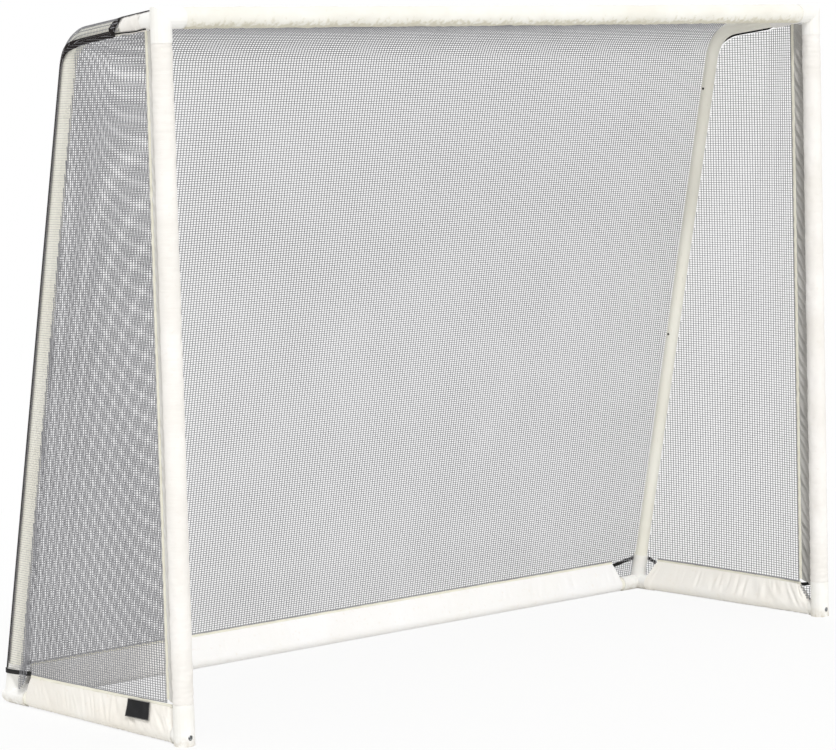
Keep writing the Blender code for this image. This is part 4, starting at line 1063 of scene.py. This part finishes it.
for side, name in SIDES:
    twines = Twine()
    outline, pitch, ahead = side_outline(name), SIDE_PITCH[name], MARGIN_AHEAD[name]
    fill_with_threads(twines, side, plumb_outline(name), pitch)
    fill_with_threads(twines, side, tube_outline(name), pitch, ways=(1,), width=PRESSED_WIDTH)
    if name == "left":
        strip = (pitch[0] * 0.85, pitch[1])
        fill_with_threads(twines, side, margin_outline(ahead), strip, MARGIN_LIFT, 0.0030, (0,))
        fill_with_threads(twines, side, tail_outline(ahead), strip, MARGIN_LIFT, 0.0030, (1,))
    else:
        fill_with_threads(twines, side, FOOT_PATCH, pitch)
    bottom, front = NET_BOTTOM_Z + 0.0006, NET_FRONT_Y + 0.0004
    add_thread(twines, side, 1, bottom, NET_FRONT_Y, SKIRT_TOP_REAR[name], width=SEAM_CORD)
    add_thread(twines, side, 0, front, NET_BOTTOM_Z, outline[1][1], width=SEAM_CORD * 0.7)
    sewn_in(
        twines.finish(f"{name}_side_net_threads"), "grey_net", (SIDE_NET_DEPTH, SIDE_NET_HEIGHT), "stretched",
        [f"{name}_post_hem_tape", f"{name}_skirt_tape"], [f"{name}_side_net"], area=polygon_area(outline),
    )

# %% [markdown]
# ## Post sleeves and their flaps
#
# Each post wears a sewn tube of cloth that is a little longer than the post, so it ripples: fine level
# creases near both ends, long drag lines between them, and puckers beside the seam at the back. From that
# seam a flap runs back to the hem tape that carries the side net. The net pulls it unevenly, so the flap
# stands in slanting folds. The shapes come from smooth noise, moved along the cloth's own directions.

# %% Sleeve shape
POST_BOTTOM_Z = 0.1053
POST_TOP_Z = 1.7407
POST_PUCKER = 0.0010
SIDE_PUCKER = 0.0006


def sleeve_radius(radius, turn, along, length, seed, pucker):
    """The sleeve's radius at an angle from its seam and a distance along it."""
    c, s = cos(turn), sin(turn)
    end = min(along, length - along)
    creases = ripple(c * 0.9 + seed, s * 0.9, along / 0.009) * 0.0015 * (0.30 + exp(-end / 0.12))
    drags = ripple(c * 1.4 + seed, s * 1.4 + along / 0.11, along / 0.030) * 0.0013
    slow = ripple(c * 0.8, s * 0.8 + seed, along / 0.13) * 0.0009
    from_seam = min(turn, 2 * pi - turn)
    puckers = ripple(seed, from_seam * 0.7, along / 0.0105) * pucker * exp(-((from_seam / 0.75) ** 2))
    squeeze = -0.0007 * exp(-end / 0.006)
    return radius + creases + drags + slow + puckers + squeeze


def sleeve_grid(radius, length, columns, step, seed, pucker):
    """Local points of a sleeve: angle from the seam, distance along, and radius at each pair of them."""
    rows = int(length / step) + 1
    turns = np.linspace(0, 2 * pi, columns)
    alongs = np.linspace(0, length, rows)
    radii = np.array([[sleeve_radius(radius, t, a, length, seed, pucker) for t in turns] for a in alongs])
    return turns, alongs, radii


# %% Flap shape
FLAP_START_Y = FRONT_Y + SLEEVE_RADIUS
FLAP_END_Y = -0.3160
FLAP_TOP_Z = 1.7745
FLAP_TAIL = 0.020
FLAP_INSET = 0.0008
FOLD_SPACING = 0.038
FOLD_DEPTH = 0.0095
FOLD_SLANT = 0.055


def flap_fold(side, share, height):
    """Sideways place of the flap: slanting zigzag folds, deepest in its middle."""
    seed = 5.0 + side
    drift = 0.6 * ripple(height / 0.11, seed, 0.5)
    phase = (height - FOLD_SLANT * share) / FOLD_SPACING + drift
    saw = abs(2 * (phase - floor(phase)) - 1) * 2 - 1
    soft = saw * (0.55 + 0.45 * ripple(height / 0.035, share * 2, seed + 3))
    depth = FOLD_DEPTH * (4 * share * (1 - share)) ** 0.6 + 0.0007 * share
    return soft * depth


def flap_point(side, share, along, seam_radius):
    """A point of the flap: share runs from the sleeve's seam at 0 to the hem tape at 1, along goes up."""
    height = POST_BOTTOM_Z + along
    root = FRONT_Y + seam_radius - FLAP_INSET
    gather = 0.0009 * ripple(height / 0.012, share, 8.0 + side) * share
    tail = FLAP_TAIL * (1 - share) * (1 - ease(along, 0.0, 0.12))
    x = side * (HALF_SPAN - FLAP_IN * share) + flap_fold(side, share, height)
    return x, root + (FLAP_END_Y - root) * share + gather, height - tail


# %% Post sleeves
POST_COLUMNS = 61
POST_STEP = 0.0038
FLAP_COLUMNS = 15
POST_LENGTH = POST_TOP_Z - POST_BOTTOM_Z
FLAP_LENGTH = FLAP_TOP_Z - POST_BOTTOM_Z

for side, name in SIDES:
    turns, alongs, radii = sleeve_grid(
        SLEEVE_RADIUS, POST_LENGTH, POST_COLUMNS, POST_STEP, 3.0 * side, POST_PUCKER
    )
    shares = np.linspace(0, 1, FLAP_COLUMNS)
    rows = []
    for i, along in enumerate(np.arange(0.0, FLAP_LENGTH, POST_STEP)):
        seam_radius = radii[min(i, len(radii) - 1), 0]
        rows.append([flap_point(side, share, along, seam_radius) for share in shares])
    flat = (FLAP_END_Y - FLAP_START_Y, FLAP_LENGTH)
    # The flap's finish is painted shade.
    piece = cloth_piece(f"{name}_post_flap_cloth", np.array(rows), flat, painted_shade_flap_cloth[name])
    sewn_in(piece, "white_fabric", flat, "gathered", [f"{name}_post_sleeve", f"{name}_post_hem_tape"])
    x = side * HALF_SPAN - radii * np.sin(turns)
    y = FRONT_Y + radii * np.cos(turns)
    z = np.broadcast_to(POST_BOTTOM_Z + alongs[:, None], radii.shape)
    flat = (SLEEVE_CUT, POST_LENGTH)
    piece = cloth_piece(f"{name}_post_sleeve_cloth", np.stack([x, y, z], -1), flat, sleeve_cloth)
    tubes = [f"{name}_post_lower_tube", f"{name}_post_upper_tube"]
    sewn_in(piece, "white_fabric", flat, "gathered", tubes, [f"{name}_post_sleeve"])

# %% [markdown]
# ## Crossbar and side tube sleeves
#
# The crossbar's sleeve is the same sewn tube laid level, with its seam underneath at the back and a row of
# small puckers along it. The side tubes wear a short sleeve only at the front, up to the net's binding.

# %% Crossbar sleeve
CROSSBAR_LENGTH = 2 * 1.1307
CROSSBAR_SEAM = radians(-108)
CROSSBAR_COLUMNS = 49
CROSSBAR_STEP = 0.0045

turns, alongs, radii = sleeve_grid(
    SLEEVE_RADIUS, CROSSBAR_LENGTH, CROSSBAR_COLUMNS, CROSSBAR_STEP, 7.5, POST_PUCKER
)
seam_turn = CROSSBAR_SEAM + turns
x = np.broadcast_to(-CROSSBAR_LENGTH / 2 + alongs[:, None], radii.shape)
grid = np.stack([x, FRONT_Y + radii * np.cos(seam_turn), BAR_Z + radii * np.sin(seam_turn)], -1)
flat = (SLEEVE_CUT, CROSSBAR_LENGTH)
# The crossbar's cloth carries painted shade along its seam underneath.
piece = cloth_piece("crossbar_sleeve_cloth", grid[:, ::-1], flat, crossbar_cloth)
tubes = ["crossbar_left_tube", "crossbar_middle_tube", "crossbar_right_tube"]
sewn_in(piece, "white_fabric", flat, "gathered", tubes, ["crossbar_sleeve"])

# %% Side sleeves
SIDE_SLEEVE_START = 0.0623
SIDE_SLEEVE_LENGTH = SLEEVE_END - SIDE_SLEEVE_START
SIDE_SLEEVE_RADIUS = 0.0221
SIDE_COLUMNS = 41
SIDE_STEP = 0.0035

for side, name in SIDES:
    turns, alongs, radii = sleeve_grid(
        SIDE_SLEEVE_RADIUS, SIDE_SLEEVE_LENGTH, SIDE_COLUMNS, SIDE_STEP, 2.0 + side, SIDE_PUCKER
    )
    seam_turn = radians(-90) + turns
    start = FRONT_CORNER + BAR_DIRECTION * SIDE_SLEEVE_START
    out = np.array([0.0, *BAR_OUTWARD.yz])
    along = np.array([0.0, *BAR_DIRECTION.yz])
    across = np.array([float(side), 0.0, 0.0])
    centre = np.array([side * HALF_SPAN, start.y, start.z]) + along * alongs[:, None, None]
    grid = centre + (radii * np.cos(seam_turn))[..., None] * across
    grid = grid + (radii * np.sin(seam_turn))[..., None] * out
    grid = grid[:, ::-1] if side > 0 else grid
    flat = (2 * pi * SIDE_SLEEVE_RADIUS, SIDE_SLEEVE_LENGTH)
    piece = cloth_piece(f"{name}_side_sleeve_cloth", grid, flat, sleeve_cloth)
    sewn_in(piece, "white_fabric", flat, "gathered", [f"{name}_side_bend_tube"], [f"{name}_side_sleeve"])

# %% [markdown]
# ## Post hem tapes
#
# The tape at the flap's rear edge is stitched to flap and net. It hangs nearly straight and follows the
# flap's small ripples.

# %% Post hem tapes
POST_TAPE_WIDTH = 0.0105
POST_TAPE_Y = -0.31085
POST_TAPE_THICKNESS = 0.0017

for side, name in SIDES:
    line, ways = [], []
    for z in np.linspace(POST_BOTTOM_Z, FLAP_TOP_Z, 330):
        sway = 0.0008 * ripple(z / 0.03, 1.0, side) + flap_fold(side, 1.0, z)
        shift = 0.0005 * ripple(z / 0.02, 4.0, side)
        line.append((side * (HALF_SPAN - FLAP_IN) + sway, POST_TAPE_Y + shift, z))
        ways.append((0.25 * ripple(z / 0.015, 6.0, side), 1.0, 0.0))
    size = (POST_TAPE_WIDTH, POST_TAPE_THICKNESS)
    piece, cut = band(f"{name}_post_hem_tape_woven", line, ways, *size, hem_tape)
    flat = (POST_TAPE_WIDTH, cut)
    sewn_in(piece, "cream_tape", flat, "stretched", [f"{name}_post_sleeve"], [f"{name}_post_hem_tape"])

# %% [markdown]
# ## Skirts
#
# A skirt is a strip of cloth that goes round the base tube and up to the hem tape, where both edges are
# sewn together and to the net. The tape is sewn a little short, so the cloth gathers: small tight gathers
# at the tape that join into larger folds lower down and die out where the cloth is tight round the tube.
# Near the posts the pull towards the foot slants them.

# %% Skirt section
SKIRT_TUBE_R = 0.0205
SKIRT_INNER_R = 0.0196
SKIRT_TIP_HALF = 0.0013
SKIRT_TIP_RISE = 0.0035
SKIRT_TIP_B = SKIRT_TOP_Z + SKIRT_TIP_RISE - BASE_Z
FLANK_POINTS = 16
ROUND_POINTS = 17


def flank_of(lean, way, radius):
    """One flank of a skirt, straight from its tip to the tube: its foot's angle, the foot and the tip."""
    tip = Vector((lean + way * SKIRT_TIP_HALF, SKIRT_TIP_B))
    angle = atan2(tip.y, tip.x) - way * acos(radius / tip.length)
    return angle, Vector((cos(angle), sin(angle))) * radius, tip


def skirt_section(lean, radius):
    """(point, normal, depth below the tape) round a skirt's section, and the length of its first flank."""
    start, foot, tip = flank_of(lean, 1, radius)
    end, last_foot, last_tip = flank_of(lean, -1, radius)
    flank = (foot - tip).length
    section = []
    normal = Vector((cos(start), sin(start)))
    for k in range(FLANK_POINTS):
        section.append((tip.lerp(foot, k / FLANK_POINTS), normal, flank * k / FLANK_POINTS))
    for k in range(ROUND_POINTS):
        turn = start + (end - 2 * pi - start) * k / (ROUND_POINTS - 1)
        normal = Vector((cos(turn), sin(turn)))
        section.append((normal * radius, normal, flank + radius * min(start - turn, turn - (end - 2 * pi))))
    normal = Vector((cos(end), sin(end)))
    for k in range(FLANK_POINTS - 1, -1, -1):
        depth = (last_foot - last_tip).length * k / FLANK_POINTS
        section.append((last_tip.lerp(last_foot, k / FLANK_POINTS), normal, depth))
    return section, flank


def fold_height(along, depth, flank, strength, slant, seed):
    """How far a fold lifts the cloth, at a place along the skirt and a depth below its tape."""
    place = along + slant * depth
    small = 1 - abs(ripple(place / 0.0075, depth / 0.05, seed)) * 2.2
    large = 1 - abs(ripple(place / 0.019, depth / 0.09, seed + 4)) * 2.4
    slow = ripple(place / 0.07, depth / 0.10, seed + 8)
    down = ease(depth, 0.0, 0.030)
    held = 1 - 0.72 * ease(depth, flank * 0.75, flank + 0.012)
    shape = 0.0007 * small * (1 - 0.6 * down) + strength * large * (0.25 + 0.75 * down) * held
    return shape + 0.0010 * slow * down * held


# %% Skirt cloth
SLANT_FADES = 0.06
HEM = 0.012
SEWN_OVER = 0.022
SKIRT_LOWEST_Z = 0.0006


def side_spread(y):
    """How far out the side net's lower edge, and so the tape and the skirt's tip, stands."""
    return side_depth(y, NET_BOTTOM_Z)


def skirt_grid(places, to_world, lean_at, end_slants, strength_at, slant_at, radius_at, seed, sewn_over=0.0):
    """World points of a skirt. Its ends are cut at a slant, and where sewn_over isn't zero its two flanks are
    sewn together above the tube over that length from the first end."""
    rows = []
    first, last = places[0], places[-1]
    for along in places:
        section, flank = skirt_section(lean_at(along), radius_at(along))
        start_pull = end_slants[0] * (1 - ease(along, first, first + SLANT_FADES))
        end_pull = end_slants[1] * ease(along, last - SLANT_FADES, last)
        hem = ease(along, first, first + HEM) * (1 - ease(along, last - HEM, last))
        row = []
        for point, normal, depth in section:
            fold = (strength_at(along), slant_at(along))
            lift = fold_height(along, depth, flank, *fold, seed) * (0.35 + 0.65 * hem)
            rise = (max(0.0, point.y) / SKIRT_TIP_B) ** 1.5
            lifted = point + normal * (max(lift, -0.0008) if depth > flank * 0.9 else lift)
            if sewn_over:
                sewn = (1 - ease(along, first + 0.002, first + sewn_over)) * ease(point.y, 0.013, 0.025)
                middle = lean_at(along) * point.y / SKIRT_TIP_B
                lifted.x += (middle + 0.12 * (lifted.x - middle) - lifted.x) * sewn
            if lifted.length < SKIRT_INNER_R:
                lifted = lifted.normalized() * SKIRT_INNER_R
            height = max(BASE_Z + lifted.y, SKIRT_LOWEST_Z)
            row.append(to_world(along + (start_pull + end_pull) * rise, lifted.x, height))
        rows.append(row)
    return np.array(rows)


def skirt_piece(name, grid, length, tubes):
    """The skirt's cloth. Its cut is measured round the section in the middle of its length."""
    cut = float(np.linalg.norm(np.diff(grid[len(grid) // 2], axis=0), axis=1).sum())
    # The right and rear skirts' finishes carry painted light.
    piece = cloth_piece(f"{name}_skirt_cloth", grid, (cut, length), skirt_cloth[name])
    sewn_in(piece, "white_fabric", (cut, length), "gathered", tubes, [f"{name}_skirt"])


# %% Side skirts
SKIRT_STEP = 0.0036
SOCKET_SKIRT_R = 0.0233
SOCKET_GROWTH = SOCKET_SKIRT_R - SKIRT_TUBE_R
SIDE_SKIRT_FRONT = FRONT_Y + 0.0280
SIDE_SKIRT_REAR = {"left": REAR_Y - 0.092, "right": REAR_Y - 0.052}
FRONT_SLANT = {"left": 0.018, "right": 0.0455}
FOOT_STUB_END = FRONT_Y + 0.0385
SOCKET_REACH = 0.0765
REAR_SOCKET_END = REAR_Y - SOCKET_REACH


def side_strength(along):
    """The folds' depth: more near the post."""
    return 0.0015 + 0.0025 * (1 - ease(along, -0.12, 0.20))


def side_slant(along):
    """The folds' slant: more near the post."""
    return 0.75 * (1 - ease(along, SIDE_SKIRT_FRONT + 0.03, SIDE_SKIRT_FRONT + 0.24)) + 0.12


def side_radius(along):
    """The skirt's radius round the tube, and round the foot's stub and the corner's socket at its ends."""
    over_stub = 1 - ease(along, FOOT_STUB_END - 0.003, FOOT_STUB_END + 0.006)
    over_socket = ease(along, REAR_SOCKET_END - 0.006, REAR_SOCKET_END + 0.003)
    return SKIRT_TUBE_R + SOCKET_GROWTH * max(over_stub, over_socket)


for side, name in SIDES:
    last = SIDE_SKIRT_REAR[name]
    length = last - SIDE_SKIRT_FRONT
    grid = skirt_grid(
        np.linspace(SIDE_SKIRT_FRONT, last, int(length / SKIRT_STEP) + 1),
        lambda along, out, height: (side * (HALF_SPAN + out), along, height), side_spread,
        (FRONT_SLANT[name], SKIRT_TOP_REAR[name] - last), side_strength, side_slant, side_radius,
        11.0 + 5 * side, SEWN_OVER,
    )
    skirt_piece(name, grid[:, ::-1] if side < 0 else grid, length, [f"{name}_base_tube"])

# %% Rear skirt
REAR_LEAN = 0.0078
REAR_SKIRT_STEP = 0.0048
REAR_SKIRT_ENDS = (-1.146, 1.105)
REAR_SKIRT_LENGTH = REAR_SKIRT_ENDS[1] - REAR_SKIRT_ENDS[0]
SOCKET_X = HALF_SPAN - SOCKET_REACH

grid = skirt_grid(
    np.linspace(*REAR_SKIRT_ENDS, int(REAR_SKIRT_LENGTH / REAR_SKIRT_STEP) + 1),
    lambda along, out, height: (along, REAR_Y + out, height), lambda along: REAR_LEAN,
    (-REAR_SKIRT_TOP[-1] - REAR_SKIRT_ENDS[0], REAR_SKIRT_TOP[1] - REAR_SKIRT_ENDS[1]),
    lambda along: 0.0011 + 0.0009 * ease(abs(along), 0.5, 1.05), lambda along: 0.1,
    lambda along: SKIRT_TUBE_R + SOCKET_GROWTH * ease(-along, SOCKET_X - 0.006, SOCKET_X + 0.003), 31.0,
)
rear_tubes = ["rear_base_left_tube", "rear_base_middle_tube", "rear_base_right_tube"]
skirt_piece("rear", grid[:, ::-1], REAR_SKIRT_LENGTH, rear_tubes)

# %% [markdown]
# ## Skirt hem tapes, straps and the tag
#
# The cream tape folds over the skirt's top edges and carries the net. Black webbing ties the tapes round
# the uprights at the rear and to the posts at the front. The tag hangs from the left tape.

# %% Skirt hem tapes
SKIRT_TAPE_THICKNESS = 0.0030


def skirt_tape(name, line, ways):
    """The tape along a skirt's top edge."""
    piece, cut = band(f"{name}_skirt_tape_woven", line, ways, TAPE_HEIGHT, SKIRT_TAPE_THICKNESS, hem_tape)
    sewn_in(piece, "cream_tape", (TAPE_HEIGHT, cut), "stretched", [f"{name}_skirt"], [f"{name}_skirt_tape"])


for side, name in SIDES:
    places = np.linspace(SIDE_SKIRT_FRONT + FRONT_SLANT[name], SKIRT_TOP_REAR[name], 120)
    line = []
    for y in places:
        x = side * (HALF_SPAN + side_spread(y)) + 0.0006 * ripple(y / 0.02, 2.0, side)
        line.append((x, y, TAPE_Z + 0.0007 * ripple(y / 0.05, 3.0, side)))
    skirt_tape(name, line, [(0.12 * ripple(y / 0.03, 5.0, side), 0.0, 1.0) for y in places])
places = np.linspace(-REAR_SKIRT_TOP[-1], REAR_SKIRT_TOP[1], 420)
line = []
for x in places:
    y = REAR_Y + REAR_LEAN + 0.0006 * ripple(x / 0.02, 2.0, 0.5)
    line.append((x, y, TAPE_Z + 0.0008 * ripple(x / 0.07, 3.0, 0.5)))
skirt_tape("rear", line, [(0.0, 0.12 * ripple(x / 0.03, 5.0, 0.5), 1.0) for x in places])

# %% Where the rear straps run
STRAP_THICKNESS = 0.0015
STRAP_RADIUS = 0.02545
STRAP_WIDTH = 0.012
STRAP_STEP = 0.008
STRAP_TUBE_Z = {"left": 0.0920, "right": 0.0965}
STRAP_END_Z = {"left": 0.0980, "right": 0.0815}
UPRIGHT_FOOT_Y = (REAR_CORNER + UPRIGHT_DIRECTION * ((TAPE_Z - BASE_Z) / UPRIGHT_DIRECTION.z)).y


def rear_strap_plan(side, name):
    """(x, y) from above, on the right-hand side: off the rear tape, round the upright, to the side tape."""
    plan = [(REAR_SKIRT_TOP[side] - 0.003, REAR_Y + REAR_LEAN + 0.0012)]
    for angle in np.linspace(0, pi / 2, 9):
        plan.append((HALF_SPAN + STRAP_RADIUS * sin(angle), UPRIGHT_FOOT_Y + STRAP_RADIUS * cos(angle)))
    plan.append((HALF_SPAN + side_spread(SKIRT_TOP_REAR[name]) + 0.0008, SKIRT_TOP_REAR[name] - 0.001))
    line = []
    for (ax, ay), (bx, by) in zip(plan, plan[1:]):
        steps = max(1, int(((bx - ax) ** 2 + (by - ay) ** 2) ** 0.5 / STRAP_STEP))
        line += [(ax + (bx - ax) * k / steps, ay + (by - ay) * k / steps) for k in range(steps)]
    return [*line, plan[-1]]


def rear_strap_height(side, name, x, y):
    """The strap's height: its own at the upright, and the tape's at both ends."""
    from_tube = ((x - HALF_SPAN) ** 2 + (y - UPRIGHT_FOOT_Y) ** 2) ** 0.5
    longest = HALF_SPAN - REAR_SKIRT_TOP[side] if x < HALF_SPAN else UPRIGHT_FOOT_Y - SKIRT_TOP_REAR[name]
    near = 1 - min(1.0, max(0.0, (from_tube - STRAP_RADIUS) / (longest - STRAP_RADIUS)))
    return STRAP_END_Z[name] + (STRAP_TUBE_Z[name] - STRAP_END_Z[name]) * near


# %% Webbing straps
FRONT_STRAP_Y = -0.3533
FRONT_STRAP_OVERLAP = 0.0045


def strap(name, points, width, rests_on):
    """A strap with its width upright."""
    ways = [(0, 0, 1)] * len(points)
    piece, cut = band(f"{name}_webbing", points, ways, width, STRAP_THICKNESS, black_webbing)
    sewn_in(piece, "black_webbing", (width, cut), "stretched", [rests_on], [name])


for side, name in SIDES:
    plan = rear_strap_plan(side, name)
    points = [(side * x, y, rear_strap_height(side, name, x, y)) for x, y in plan]
    strap(f"{name}_rear_strap", points, STRAP_WIDTH, f"{name}_upright_lower_tube")
    reach = SIDE_SKIRT_FRONT + FRONT_SLANT[name] + FRONT_STRAP_OVERLAP - FRONT_STRAP_Y
    points = []
    for t in np.linspace(0, 1, 12):
        x = side * HALF_SPAN + 0.0008 * sin(9 * t)
        points.append((x, FRONT_STRAP_Y + reach * t, TAPE_Z - 0.004 + 0.009 * (1 - t)))
    strap(f"{name}_front_strap", points, TAPE_HEIGHT, f"{name}_front_foot")

# %% Blank tag
TAG_NEAR_Y = FRONT_Y + 0.130
TAG_RAISED = 0.0045
TAG_FLARE = 0.011
TAG_THICKNESS = 0.0008
TAG_ROWS, TAG_COLUMNS = 13, 23


def tag_point(down, along):
    """A point of the tag, which hangs down the skirt's outer flank and curls off it a little."""
    y = TAG_NEAR_Y + along - TAG_FLARE * (down / TAG_HEIGHT) * (1 - along / TAG_WIDTH)
    tip = Vector((side_spread(y) + SKIRT_TIP_HALF, SKIRT_TIP_B - SKIRT_TIP_RISE))
    angle = atan2(tip.y, tip.x) - acos(SKIRT_TUBE_R / tip.length)
    out = Vector((cos(angle), sin(angle)))
    slope = (out * SKIRT_TUBE_R - tip).normalized()
    curl = 0.0056 + 0.0014 * ripple(along / 0.03, down / 0.03, 3.0) + 0.0030 * (down / TAG_HEIGHT) ** 2
    place = tip + slope * (down - TAG_RAISED) + out * curl
    return -HALF_SPAN - place.x, y, BASE_Z + place.y


downs, alongs = np.linspace(0, TAG_HEIGHT, TAG_ROWS), np.linspace(0, TAG_WIDTH, TAG_COLUMNS)
grid = np.array([[tag_point(down, along) for along in alongs] for down in downs])
tag = cloth_piece("blank_tag_satin", grid, (TAG_WIDTH, TAG_HEIGHT), tag_satin)
tag.modifiers.new("Thickness", "SOLIDIFY").thickness = TAG_THICKNESS
sewn_in(tag, "black_webbing", (TAG_WIDTH, TAG_HEIGHT), "hung", ["left_skirt"], ["blank_label"])
